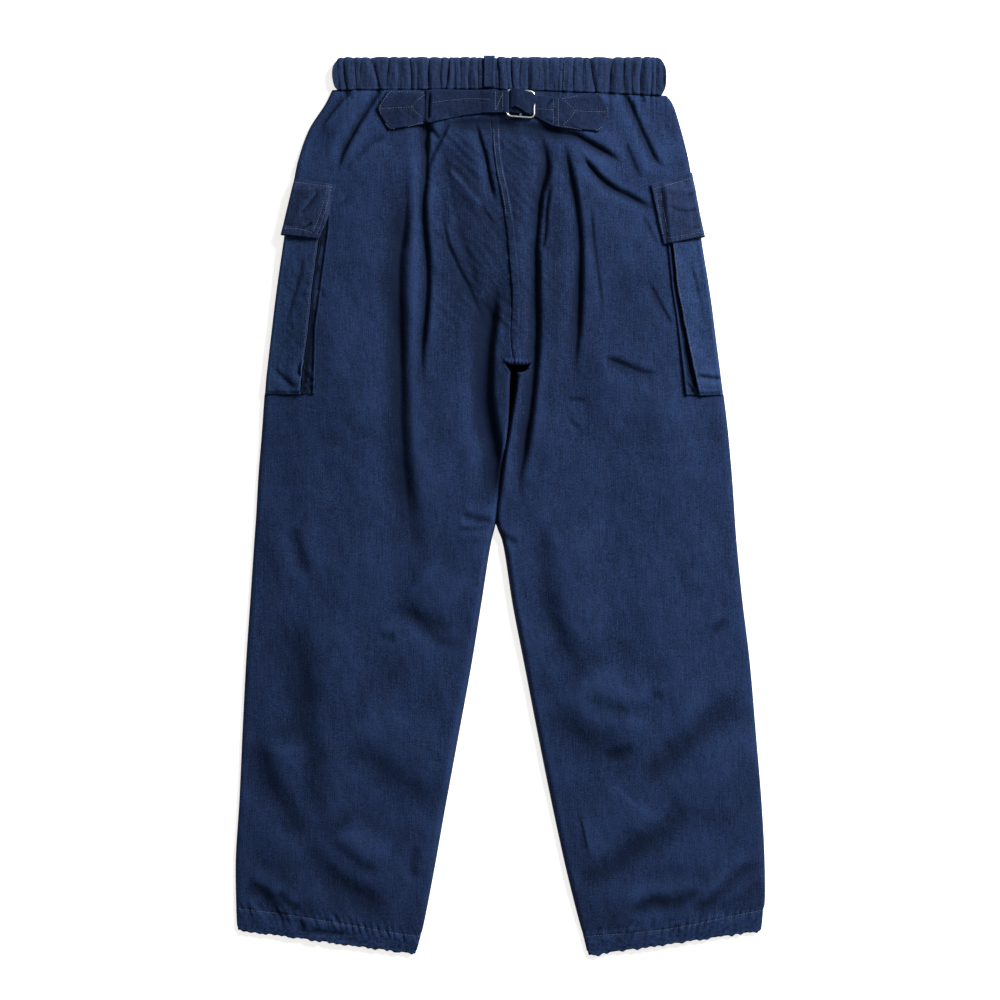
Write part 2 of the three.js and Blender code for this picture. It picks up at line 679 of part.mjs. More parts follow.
// Places of the left strap, [x, z], which turns round the left bar and is sewn back on itself
function leftBarTurn() {
  const centre = BUCKLE_LEFT + BUCKLE_WIRE / 2;
  const folded = (CLOTH + SEAM_GAP + CLOSE_CLEARANCE) / 2;
  const turn = Array.from({ length: 7 }, (_, i) => {
    const angle = Math.PI * (i / 6);
    return [centre + STRAP_BAR_REACH * Math.sin(angle), BUCKLE_Z + STRAP_BAR_REACH * Math.cos(angle)];
  });
  return [
    [-6, BUCKLE_Z + folded],
    [1, BUCKLE_Z + folded],
    ...turn,
    [1, BUCKLE_Z - folded],
    [-5, BUCKLE_Z - folded],
  ];
}

// Places of the right strap, which goes under the right bar, over the centre bar and down again
function centreBarPass() {
  const right = BUCKLE_RIGHT - BUCKLE_WIRE / 2;
  const centre = (BUCKLE_LEFT + BUCKLE_RIGHT) / 2;
  const reach = STRAP_BAR_REACH;
  return [
    [right + 2.5, BUCKLE_Z - reach],
    [right - 1.5, BUCKLE_Z - reach],
    [right - 5, BUCKLE_Z - 0.8],
    [centre + 5.5, BUCKLE_Z + 1.4],
    [centre + 1.4, BUCKLE_Z + reach],
    [centre - 1.4, BUCKLE_Z + reach],
    [centre - 4.4, BUCKLE_Z + 1],
    [centre - 6.6, BUCKLE_Z - 1.6],
  ];
}

function roundedRectangle(path, left, low, right, high, corner) {
  path.moveTo(left + corner, low);
  path.lineTo(right - corner, low);
  path.absarc(right - corner, low + corner, corner, -Math.PI / 2, 0, false);
  path.lineTo(right, high - corner);
  path.absarc(right - corner, high - corner, corner, 0, Math.PI / 2, false);
  path.lineTo(left + corner, high);
  path.absarc(left + corner, high - corner, corner, Math.PI / 2, Math.PI, false);
  path.lineTo(left, low + corner);
  path.absarc(left + corner, low + corner, corner, Math.PI, Math.PI * 1.5, false);
  return path;
}

function buckleGeometry() {
  const wire = BUCKLE_WIRE - 2 * BUCKLE_BEVEL;
  const bevel = BUCKLE_BEVEL;
  const centre = (BUCKLE_LEFT + BUCKLE_RIGHT) / 2;
  const outline = roundedRectangle(
    new THREE.Shape(),
    BUCKLE_LEFT + bevel, BUCKLE_LOW_Y + bevel, BUCKLE_RIGHT - bevel, BUCKLE_HIGH_Y - bevel,
    BUCKLE_CORNER - bevel,
  );
  const low = BUCKLE_LOW_Y + bevel + wire;
  const high = BUCKLE_HIGH_Y - bevel - wire;
  const slots = [
    [BUCKLE_LEFT + bevel + wire, centre - wire / 2],
    [centre + wire / 2, BUCKLE_RIGHT - bevel - wire],
  ];
  outline.holes = slots.map(([left, right]) => (
    roundedRectangle(new THREE.Path(), left, low, right, high, BUCKLE_CORNER - bevel - wire)
  ));
  const geometry = new THREE.ExtrudeGeometry(outline, {
    depth: wire,
    bevelThickness: bevel,
    bevelSize: bevel,
    bevelSegments: 1,
    curveSegments: 3,
  });
  return geometry.translate(0, 0, BUCKLE_Z - wire / 2);
}

// Belt loop: up the waistband and over its top edge
function loopGrid(waistband) {
  const rest = highestNear([waistband], LOOP_REST.x, LOOP_REST.y, LOOP_REST.reach);
  const level = rest + BAND_CLOTH / 2 + LAYER;
  return LOOP_STATIONS.map((share) => [LOOP_LEFT, (LOOP_LEFT + LOOP_RIGHT) / 2, LOOP_RIGHT].map((x) => {
    const y = mix(LOOP_LOW_Y, LOOP_TOP_Y, share);
    const drop = ease((y - WAIST_TOP_Y) / (LOOP_TOP_Y - WAIST_TOP_Y)) * LOOP_DROP;
    return new THREE.Vector3(x, y, level - drop);
  }));
}

const garment = new THREE.Group();

function addPiece(name, geometry, color, roughness, metalness) {
  const mesh = new THREE.Mesh(geometry, new THREE.MeshStandardMaterial({ color, roughness, metalness }));
  mesh.name = name;
  garment.add(mesh);
}

function addCloth(name, grid, thickness, color) {
  addPiece(name, wall(grid, typeof thickness === "number" ? () => thickness : thickness), color, 0.9, 0);
}

const legs = {
  left: { table: LEFT_ROWS, otherTable: RIGHT_ROWS, outward: -1 },
  right: { table: RIGHT_ROWS, otherTable: LEFT_ROWS, outward: 1 },
};
const backs = [];
Object.entries(legs).forEach(([name, { table, otherTable, outward }]) => {
  const pocket = POCKETS[name];
  const { front, back, thickness } = legGrids(table, otherTable, pocket, outward);
  backs.push(back);
  addCloth(`front_${name}`, front, thickness, INDIGO);
  addCloth(`back_${name}`, back, thickness, INDIGO);
  const { face, gusset } = pocketGrids(table, pocket, back, outward);
  addCloth(`pocket_${name}`, face, CLOTH, INDIGO_LIGHT);
  addCloth(`pocket_gusset_${name}`, gusset, CLOTH, INDIGO_LIGHT);
  addCloth(`pocket_flap_${name}`, flapGrid(pocket, back, face, gusset, outward), CLOTH, INDIGO_DARK);
});

const bandColumns = GATHER_COUNT * GATHER_STEPS;
const bandBase = BAND_CLOTH * 1.5 + SEAM_GAP;
const waistbandBack = waistbandGrid(bandColumns, BAND_BACK_UPS, (across, up) => {
  const pinch = mix(GATHER_EDGE_HEIGHT, 1, Math.sin(Math.PI * up));
  return bandBase + gatherRise(across) * pinch;
});
const waistbandFront = waistbandGrid(BAND_FRONT_COLUMNS, BAND_FRONT_UPS, () => BAND_CLOTH / 2);
addCloth("waistband_back", waistbandBack, BAND_CLOTH, INDIGO_DARK);
addCloth("waistband_front", waistbandFront, BAND_CLOTH, INDIGO_DARK);
addCloth("belt_loop", loopGrid(waistbandBack), CLOTH, INDIGO_DARK);
addCloth("strap_left", strapGrid(STRAP_LEFT, backs, leftBarTurn()), CLOTH, INDIGO_DARK);
addCloth("strap_right", strapGrid(STRAP_RIGHT, backs, centreBarPass()), CLOTH, INDIGO_DARK);
addPiece("buckle", buckleGeometry(), NICKEL, 0.25, 1);

export default garment;
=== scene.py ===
"""Trousers laid flat with the back up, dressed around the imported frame.

Cloth is shaped in millimetres: X across the hips, Y from the hems to the waist, Z up from the floor.
"""

import logging
import math
from collections.abc import Iterable, Sequence
from dataclasses import dataclass
from enum import Enum
from typing import ClassVar, NamedTuple

import bpy
import numpy as np
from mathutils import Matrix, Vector
from mathutils.bvhtree import BVHTree


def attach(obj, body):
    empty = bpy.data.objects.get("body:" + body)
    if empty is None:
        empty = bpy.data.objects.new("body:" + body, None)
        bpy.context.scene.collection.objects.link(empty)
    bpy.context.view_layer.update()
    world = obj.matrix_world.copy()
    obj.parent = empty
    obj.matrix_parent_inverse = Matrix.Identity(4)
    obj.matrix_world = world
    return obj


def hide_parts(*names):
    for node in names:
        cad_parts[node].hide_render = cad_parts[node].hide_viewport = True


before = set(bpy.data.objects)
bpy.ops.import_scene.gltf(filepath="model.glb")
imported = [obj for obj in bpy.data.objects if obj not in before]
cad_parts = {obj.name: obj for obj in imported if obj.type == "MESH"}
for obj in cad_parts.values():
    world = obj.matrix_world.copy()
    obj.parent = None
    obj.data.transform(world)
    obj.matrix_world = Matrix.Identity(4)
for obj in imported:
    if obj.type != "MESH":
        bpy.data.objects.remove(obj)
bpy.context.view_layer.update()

Array = np.ndarray
Points = Sequence[tuple[float, float]]

MM = 0.001

# Cloth, seams and layers, shared with the frame's solids
CLOTH = 1.2
BAND_CLOTH = 2.0
HEM_CLOTH = 2.2
SEAM_GAP = 0.3
LAYER = CLOTH + SEAM_GAP

# Lay of the legs, shared with the frame's solids
EDGE_ROLL = 7.0
INNER_ROLL = 3.5
INNER_ROLL_START_Y = 153.0
INNER_ROLL_FULL_Y = 146.0
LEAST_LOFT = 0.35
LEGS_APART = 11.0
FRONT_SEAM_INSET = 3.0
SIDE_LOFT = 0.3
SIDE_FLATNESS = 85.0
WRAP_CLEARANCE = 4.0
WRAP_TURN = 3.4
LIFT_MARGIN = 18.0
LIFT_RAMP = 30.0
POCKET_FRONT_REACH = 105.0
FLAP_FRONT_REACH = 112.0

# Mouth at the crotch: its middle, half width, opening, and the rise of its edges towards its ends
CROTCH_X = 19.5
CROTCH_Y = 154.2
CROTCH_HALF = 12.5
CROTCH_OPEN = 8.2
CROTCH_TOP_BOW = 1.6
CROTCH_LOW_BOW = 7.0

# Waistband

WAIST_TOP_Y = 491.5
WAIST_LEFT = (-184.0, 456.8)
WAIST_CENTRE = (-11.0, 458.2)
WAIST_RIGHT = (182.5, 450.8)
WAIST_END_BULGE = 3.0

LOOP_X = -11.5

# Cinch buckle
BUCKLE_LEFT = 6.6
BUCKLE_RIGHT = 38.5
BUCKLE_LOW_Y = 426.5
BUCKLE_HIGH_Y = 457.3
BUCKLE_WIRE = 2.2
BUCKLE_CORNER = 4.5
BUCKLE_Z = 14.5


class Side(Enum):
    """Side of the picture that a leg lies on. Its value points outwards along X."""

    LEFT = -1
    RIGHT = 1

    @property
    def label(self) -> str:
        """Name of the side as the frame's nodes spell it."""
        return self.name.lower()

    @property
    def other(self) -> "Side":
        """The opposite side."""
        return Side(-self.value)


class EdgeRow(NamedTuple):
    """Places of the side edge and the inner edge of a leg or a flap on one row."""

    side_x: float
    side_y: float
    inner_x: float
    inner_y: float


# Rows of each leg from the waist to the hem
LEG_EDGES = {
    Side.LEFT: [EdgeRow(*row) for row in (
        (-184, 456.5, -11.2, 457.9), (-191, 442, -11.2, 433), (-209.5, 413, -8.5, 404),
        (-221, 380, -5, 371), (-227.5, 347, 1.1, 338), (-234, 314, 5.6, 308),
        (-239, 281, 9.4, 275), (-246, 232, 13, 228), (-252, 182, 11.2, 184),
        (-256, 147, 13.6, 152.5), (-256.5, 143, 12, 148.5), (-261, 83, 9, 84),
        (-265, 34, 1.7, 39), (-267.5, -10, -4.6, -16), (-269.5, -38, -10.2, -40),
        (-274, -104, -21, -108), (-278.5, -170, -32, -176), (-283, -258, -48.5, -266),
        (-286, -324, -61.5, -337), (-290, -390, -74, -407), (-289.5, -438, -86, -467),
        (-289.3, -442, -87.5, -471), (-288, -466, -93, -492.5),
    )],
    Side.RIGHT: [EdgeRow(*row) for row in (
        (182.5, 450.5, -10.8, 457.9), (189, 442, -10.8, 433), (198.5, 413, -8.1, 404),
        (206.5, 380, -4.6, 371), (212, 347, 1.5, 338), (218, 314, 6, 308),
        (223, 281, 9.8, 275), (231, 232, 13.6, 228), (237.5, 182, 11.8, 184),
        (242, 147, 14.2, 152.5), (242.5, 143, 17.6, 148.5), (250, 83, 9.9, 84),
        (254.5, 34, 2.6, 39), (257.5, -10, -3.7, -18), (259.5, -38, 3.3, -40),
        (266, -104, 14.3, -108), (274, -170, 27.5, -176), (281.5, -258, 45, -266),
        (287, -324, 59.5, -337), (290.5, -390, 75, -407), (290.3, -439, 90.5, -467),
        (289, -443, 92, -471), (286.5, -467, 97.5, -494),
    )],
}


class LoftRow(NamedTuple):
    """Rise of the back panels between their folds at a height on the legs."""

    y: float
    rise: float


LOFT = [LoftRow(*row) for row in (
    (-495, 0.9), (-430, 5), (-250, 7), (-40, 8), (120, 11.5), (250, 11), (400, 8.2), (458, 4),
)]


@dataclass(frozen=True)
class Fold:
    """A crease of the cloth: a soft trough, a shoulder on each side and a thin line at its bottom.

    Attributes:
        path: Points that the crease follows, down the leg or from left to right.
        trough: Depth of the soft trough; below 0 it is a ridge.
        spread: Half width of the trough.
        left: Height and width of the shoulder on the left-hand side of the way along the path.
        right: Height and width of the shoulder on the right-hand side.
        crease: Depth of the thin line.
    """

    path: Points
    trough: float
    spread: float
    left: tuple[float, float] = (0.5, 7.0)
    right: tuple[float, float] = (0.5, 7.0)
    crease: float = 0.0


HIP_FOLDS = (
    Fold(((-165, 455), (-176, 443), (-200, 413)), 1.5, 6, (1, 9), (2, 10), 0.5),
    Fold(((-166, 452), (-161.5, 446)), 1, 3),
    Fold(((-134, 454), (-147, 433), (-161, 409), (-173, 384), (-179, 362)), 2.2, 6, (2, 11), (2.4, 12), 0.6),
    Fold(((-122, 405.5), (-142.5, 395.5), (-151, 386.5), (-165, 373.5), (-175, 362.5)),
         1.2, 6, (0.8, 10), (1, 10)),
    Fold(((-79, 452), (-80, 415), (-82, 363), (-84, 330), (-80, 270), (-79, 242), (-85, 169), (-84, 120)),
         3.6, 7, (2, 13), (2.8, 14), 1.0),
    Fold(((-106, 393), (-104, 320), (-111, 262), (-109, 205), (-108, 83), (-104, 26), (-92, -49), (-78, -82)),
         5.4, 14, (0.5, 20), (3, 26), 0.8),
    Fold(((-28, 424), (-21, 400), (-15, 381), (-11, 356), (-5, 328)), 2.2, 5, (2, 11), (0.8, 7), 1.0),
    Fold(((-60, 372), (-46, 356), (-34, 341), (-21, 329), (-10, 321)), -2.4, 6, (0, 9), (0, 9)),
    Fold(((-22, 333), (-13.5, 318), (-3.5, 304.5)), 1, 4.5, (0.5, 8), (0.5, 8), 0.2),
    Fold(((-78, 415.5), (-65.5, 400)), 1.6, 3.5, crease=0.5),
    Fold(((-55, 423), (-65.5, 399), (-74, 382.5), (-79, 369)), 1.8, 4, (1, 8), (1.4, 8), 0.5),
    Fold(((-65.5, 345.5), (-58.5, 323.5), (-51.5, 296.5)), 0.8, 5, (0.5, 8), (0.6, 9)),
    Fold(((-64, 330), (-57, 288), (-45, 258), (-30, 230), (-16, 196)), 0.8, 5, (0.4, 9), (1.2, 12), 0.5),
    Fold(((-4, 246), (-7, 215), (-11, 185), (-13, 154), (-13, 118), (-9, 84), (-4, 56), (-6, 20), (-9, -14)),
         11, 10, (0.8, 30), (2, 12)),
    Fold(((-198.5, 241.5), (-191.5, 225)), 0.8, 3),
    Fold(((-182, 325.5), (-167, 336.5)), 0.8, 3.5),
    Fold(((31, 424), (47, 394), (51, 367), (44, 337), (39, 282), (40, 250), (39, 169), (34, 110), (27, 60),
          (21, 24), (27, -8)), 5.6, 7.5, (2.4, 15), (2.8, 16), 1.4),
    Fold(((56.5, 355), (51, 323.5), (48.5, 293), (44.5, 274.5)), 1.6, 4, (1, 7), (1.4, 8), 0.4),
    Fold(((67, 406), (77, 363), (85, 315), (88, 260), (85, 196), (80, 134)),
         3.6, 7, (1.4, 12), (2.2, 14), 1.1),
    Fold(((38, 420), (53, 414), (68, 408), (82, 406), (96, 399), (113, 389), (135, 373)),
         3, 6, (1.2, 9), (2, 12), 1.2),
    Fold(((88, 385), (101, 369), (114, 355), (128, 345), (143, 338), (170, 324)),
         2.6, 5, (1, 9), (1.6, 12), 1.4),
    Fold(((139, 448), (148, 428), (159, 403), (170, 380), (182, 368)), 2.4, 6, (1.6, 10), (2.2, 11), 0.6),
    Fold(((121, 454.5), (127.5, 446.5)), 1.2, 3),
    Fold(((156, 450.5), (159, 442)), 1.2, 3),
    Fold(((136.5, 397), (145, 379), (154, 358.5)), 1.2, 5, (0.8, 9), (0.8, 9)),
    Fold(((98.5, 333), (102.5, 287.5), (108, 245), (113.5, 196)), 0.8, 3.5, crease=0.25),
    Fold(((162.5, 247), (171.5, 228.5), (182.5, 208.5), (191.5, 194.5)), 0.9, 3.5, crease=0.3),
    Fold(((155, 320), (164, 302), (173, 281.5)), 0.8, 4),
    Fold(((112, 163), (136.5, 153), (153, 146), (176, 143)), 2.4, 9, (0.8, 12), (1.2, 14), 0.2),
    Fold(((72.5, 117), (94.5, 116)), 0.8, 3, crease=0.3),
    Fold(((75, 95.5), (88, 83.5)), 0.7, 4),
)
CROTCH_FOLDS = (
    Fold(((-66, 408), (-56, 350), (-44, 300), (-30, 250), (-24, 210)), 1, 8, (0.4, 10), (3, 70)),
    Fold(((-120, -104), (-92, -124), (-50, -140)), 1.2, 10, (0.4, 14), (2, 26)),
    Fold(((20, 418), (44, 412), (70, 402)), 2.4, 8, (0.4, 9), (0.4, 9)),
    Fold(((-62, 417), (-30, 420), (2, 419), (26, 414)), 2.6, 7, (0.4, 9), (0.4, 9)),
    Fold(((-45, -9), (-26.5, -14.5), (-7, -17)), 1.4, 4, (0.8, 7), (0.8, 7), 0.2),
    Fold(((-49, -24.5), (-30, -26), (-9, -25.5)), 0.8, 3, (0.6, 6), (0.6, 6), 0.5),
    Fold(((0, -28.5), (9.5, -37.5), (21, -41)), 1.2, 3.5),
)
LEFT_LEG_FOLDS = (
    Fold(((-229, -20), (-222, -50), (-212, -80)), 1.6, 8, (0.8, 12), (1, 12)),
    Fold(((-108, -112), (-79, -138), (-69.5, -148), (-41, -155)), 0.6, 5, (0.3, 9), (0.6, 9)),
    Fold(((-132, -145.5), (-115.5, -144)), 0.8, 4),
    Fold(((-235, -106), (-223, -163), (-219, -192), (-216, -250), (-208, -310), (-198, -372)),
         3, 15, (0.4, 20), (2.8, 28), 0.2),
    Fold(((-272.5, -252), (-266.5, -282), (-259, -305), (-240, -332), (-212, -378)),
         2, 12, (0.4, 16), (2.6, 24), 0.2),
    Fold(((-214, -362), (-200, -394), (-172, -418), (-118, -446)), 2, 12, (0.4, 16), (2.8, 26), 0.2),
    Fold(((-192, -366), (-164.5, -388), (-130, -408)), 1.4, 8, (0.4, 11), (2, 18)),
    Fold(((-184, -262), (-140, -285), (-104, -312), (-84, -342)), 1.6, 14, (0.4, 16), (2.8, 30)),
    Fold(((-92.5, -373), (-96.5, -399.5), (-90.5, -410.5)), 1.1, 5),
    Fold(((-284, -416.5), (-263, -426), (-249.5, -441.5), (-234.5, -464.5)), 2.4, 7, (1, 9), (1.2, 10)),
    Fold(((-246, -422.5), (-234.5, -437.5), (-218, -447)), 1.8, 6),
    Fold(((-219.5, -452.5), (-215.5, -470)), 1, 4),
    Fold(((-212, -465.5), (-164.5, -471.5)), 0.8, 3),
)
RIGHT_LEG_FOLDS = (
    Fold(((47, -10), (45, -67), (52, -115), (68, -155), (96, -192)), 2, 10, (0.4, 14), (2.6, 26)),
    Fold(((233, -140), (249.5, -124.5)), 1, 5),
    Fold(((165, -208), (180.5, -210.5)), 0.8, 4),
    Fold(((84, -206), (112, -220), (145, -226), (180, -216)), 1, 8, (0.4, 10), (1.2, 20)),
    Fold(((44, -222), (70, -245), (104, -268), (152, -288)), 1.6, 18, (0.4, 18), (3.2, 32), 0.2),
    Fold(((112, -276.5), (147.5, -265.5)), 1, 5),
    Fold(((153, -308), (181, -280), (208, -256), (236, -231), (272, -208)),
         2.2, 15, (2.8, 30), (0.8, 20), 0.3),
    Fold(((79, -407), (106, -405), (133, -389), (152, -373), (180, -356), (196, -322)),
         2, 14, (1.6, 22), (2.2, 26), 0.3),
    Fold(((139.5, -451), (165, -436.5), (189, -437.5), (227.5, -420.5)), 2, 8, (1, 9), (1, 10), 0.2),
    Fold(((206.5, -451), (236.5, -431.5), (265, -405), (290, -392)), 2.2, 8, (0.8, 9), (0.8, 9), 0.2),
    Fold(((236, -446), (262, -434), (290, -409)), 2.2, 8),
)


@dataclass(frozen=True)
class Seam:
    """A sewn line that draws the cloth in.

    Attributes:
        path: Points that the line follows.
        groove: Depth of the line itself.
        pucker: Height of the small waves that cross the line.
        pitch: Length of one wave along the line.
        reach: How far the waves spread from the line.
        slant: How far a wave leans along the line for each millimetre away from it.
        bank: Height that the cloth gains on the right-hand side, where it lies double.
        bank_reach: Width of the double cloth.
        stitched: Whether thread shows on the line.
    """

    path: Points
    groove: float = 0.35
    pucker: float = 0.2
    pitch: float = 7.0
    reach: float = 4.0
    slant: float = 0.0
    bank: float = 0.0
    bank_reach: float = 8.0
    stitched: bool = True


CENTRE_SEAM = ((-11, 456), (-11, 430), (-9, 413.5), (-7.5, 388), (-3.5, 362.5), (0.5, 345), (5, 318),
               (8, 296), (11, 262), (13.6, 227.5), (12.5, 200), (11.8, 182), (15.5, 160))
HEM_LINES = {
    Side.LEFT: ((-288.5, -442.5), (-221, -451), (-164.5, -460.5), (-117, -469), (-88, -473)),
    Side.RIGHT: ((92, -473), (146, -469), (189, -464), (246.5, -452.5), (289.5, -444)),
}


class PocketRow(NamedTuple):
    """Edge of a pocket's face and the line where its gusset is sewn down, at a height."""

    y: float
    face: float
    gusset: float


POCKET_ROWS = {
    Side.LEFT: [PocketRow(*row) for row in (
        (345, -191, -184.5), (302, -197, -186.6), (242, -205.7, -194.7),
        (196, -210, -201), (142, -217.5, -202.5), (122, -219, -203),
    )],
    Side.RIGHT: [PocketRow(*row) for row in (
        (345, 184.5, 178), (298, 188, 183), (242, 193.5, 188.5),
        (196, 202.5, 195), (150, 212, 200.5), (121, 219, 203.5),
    )],
}
FLAP_ROWS = {
    Side.LEFT: [EdgeRow(*row) for row in (
        (-226, 358, -180, 351), (-229, 345, -182, 340), (-235, 320, -187, 318), (-240.5, 297, -198, 291.5),
    )],
    Side.RIGHT: [EdgeRow(*row) for row in (
        (211, 365, 165, 351.5), (214, 350, 168, 339), (219.5, 320, 173.5, 312), (225, 294.5, 179.5, 286),
    )],
}


class StrapRow(NamedTuple):
    """Low and high edge of a cinch strap at a place, and how far it bridges up to the buckle there."""

    x: float
    low: float
    high: float
    bridge: float


class BarRow(NamedTuple):
    """Places of a strap's low and high edge on a row near the buckle, and its height there."""

    low_x: float
    low_y: float
    high_x: float
    high_y: float
    z: float


class Valley(NamedTuple):
    """A valley between two gathers of the waistband: its places and depths at the top and low edge."""

    top_x: float
    low_x: float
    top_depth: float
    low_depth: float


STRONG_VALLEYS = [Valley(*row) for row in (
    (-171.5, -168.5, 1, 1), (-142.5, -132.5, 1, 1), (-99.5, -98, 1, 1), (-77.5, -78.5, 1, 1),
    (-64, -64, 0.6, 0.6), (-55.5, -59.5, 1, 1), (-3.5, -1, 0.9, 0.9), (12, 14.5, 0.9, 0.9),
    (31, 31, 0.2, 1), (99, 105.5, 1, 1), (124.5, 120.5, 1, 1), (156, 153.5, 0.9, 0.9), (165, 165, 0.2, 1),
)]


def ease(value: Array | float) -> Array | float:
    """Smooth step from 0 to 1."""
    held = np.clip(value, 0, 1)
    return held * held * (3 - 2 * held)


def mix(start: Array | float, end: Array | float, share: Array | float) -> Array | float:
    """Value between start and end."""
    return start + (end - start) * share


def waist_y(x: Array) -> Array:
    """Height where the waistband is sewn to the panels."""
    return np.interp(x, *zip(WAIST_LEFT, WAIST_CENTRE, WAIST_RIGHT))


def spline(points: Points, per_span: int) -> Array:
    """Draws a centripetal curve through points.

    Args:
        points: Points of the curve.
        per_span: Steps between two points.

    Returns:
        The curve's points, one row each.
    """
    given = np.asarray(points, dtype=float)
    ends = np.vstack([2 * given[0] - given[1], given, 2 * given[-1] - given[-2]])
    share = np.linspace(0, 1, per_span, endpoint=False)[:, None]
    spans = []
    for first, start, end, last in zip(ends, ends[1:], ends[2:], ends[3:]):
        before, within, after = (
            max(np.linalg.norm(b - a), 1e-6) ** 0.5 for a, b in ((first, start), (start, end), (end, last))
        )
        leave = (start - first) / before - (end - first) / (before + within) + (end - start) / within
        arrive = (end - start) / within - (last - start) / (within + after) + (last - end) / after
        leave, arrive = leave * within, arrive * within
        spans.append(
            (2 * share ** 3 - 3 * share ** 2 + 1) * start + (share ** 3 - 2 * share ** 2 + share) * leave
            + (3 * share ** 2 - 2 * share ** 3) * end + (share ** 3 - share ** 2) * arrive
        )
    return np.vstack([*spans, given[-1:]])


class Noise:
    """Seeded gradient noise, from about -1 to 1 over a lattice of unit cells."""

    # Cells before the lattice repeats, and what brings the noise to about 1
    LATTICE = 128
    GAIN = 1.5

    def __init__(self, seed: int) -> None:
        """Draws the lattice's gradients from the seed."""
        angles = np.random.default_rng(seed).uniform(0, 2 * math.pi, (self.LATTICE, self.LATTICE))
        self.along_x = np.cos(angles)
        self.along_y = np.sin(angles)

    def at(self, x: Array, y: Array) -> Array:
        """Works out the noise at some places.

        Args:
            x: Places across, in cells.
            y: Places up, in cells.

        Returns:
            The noise.
        """
        column, row = np.floor(x).astype(int), np.floor(y).astype(int)
        dx, dy = x - column, y - row

        def corner(right: int, up: int) -> Array:
            """Slope of one corner of the cell at each place."""
            i, j = (row + up) % self.LATTICE, (column + right) % self.LATTICE
            return self.along_x[i, j] * (dx - right) + self.along_y[i, j] * (dy - up)

        share_x = dx ** 3 * (dx * (dx * 6 - 15) + 10)
        share_y = dy ** 3 * (dy * (dy * 6 - 15) + 10)
        low = mix(corner(0, 0), corner(1, 0), share_x)
        high = mix(corner(0, 1), corner(1, 1), share_x)
        return self.GAIN * mix(low, high, share_y)

    def crumple(self, x: Array, y: Array) -> Array:
        """Noise with soft hollows and narrow ridges, from about -0.5 to 0.5."""
        return 0.5 - 2 * np.abs(self.at(x, y))


class Near(NamedTuple):
    """Places near a line: which they are, how far, on which side and how far along."""

    index: Array
    distance: Array
    turn: Array
    along: Array


class Line:
    """A smooth line over the cloth, for creases and seams."""

    def __init__(self, points: Points, per_span: int = 8) -> None:
        """Draws the line.

        Args:
            points: Points that it runs through.
            per_span: Steps between two points.
        """
        self.points = spline(points, per_span)
        self.steps = np.diff(self.points, axis=0)
        self.lengths = np.hypot(*self.steps.T)
        self.starts = np.concatenate([[0], np.cumsum(self.lengths)])
        self.length = self.starts[-1]

    def near(self, x: Array, y: Array, reach: float) -> Near:
        """Finds the places within reach of the line.

        Args:
            x: Places across.
            y: Places up.
            reach: Greatest distance that counts.

        Returns:
            The places found, with the side positive to the left of the way along the line.
        """
        low, high = self.points.min(axis=0) - reach, self.points.max(axis=0) + reach
        index = np.flatnonzero((x > low[0]) & (x < high[0]) & (y > low[1]) & (y < high[1]))
        px, py = x[index], y[index]
        best = np.full(len(index), np.inf)
        turn, along = np.zeros(len(index)), np.zeros(len(index))
        for (ax, ay), (dx, dy), length, start in zip(self.points, self.steps, self.lengths, self.starts):
            share = np.clip(((px - ax) * dx + (py - ay) * dy) / length ** 2, 0, 1)
            off_x, off_y = px - ax - share * dx, py - ay - share * dy
            distance = np.hypot(off_x, off_y)
            closer = distance < best
            best[closer] = distance[closer]
            turn[closer] = (dx * off_y - dy * off_x)[closer]
            along[closer] = start + share[closer] * length
        found = best < reach
        return Near(index[found], best[found], np.sign(turn[found]), along[found])


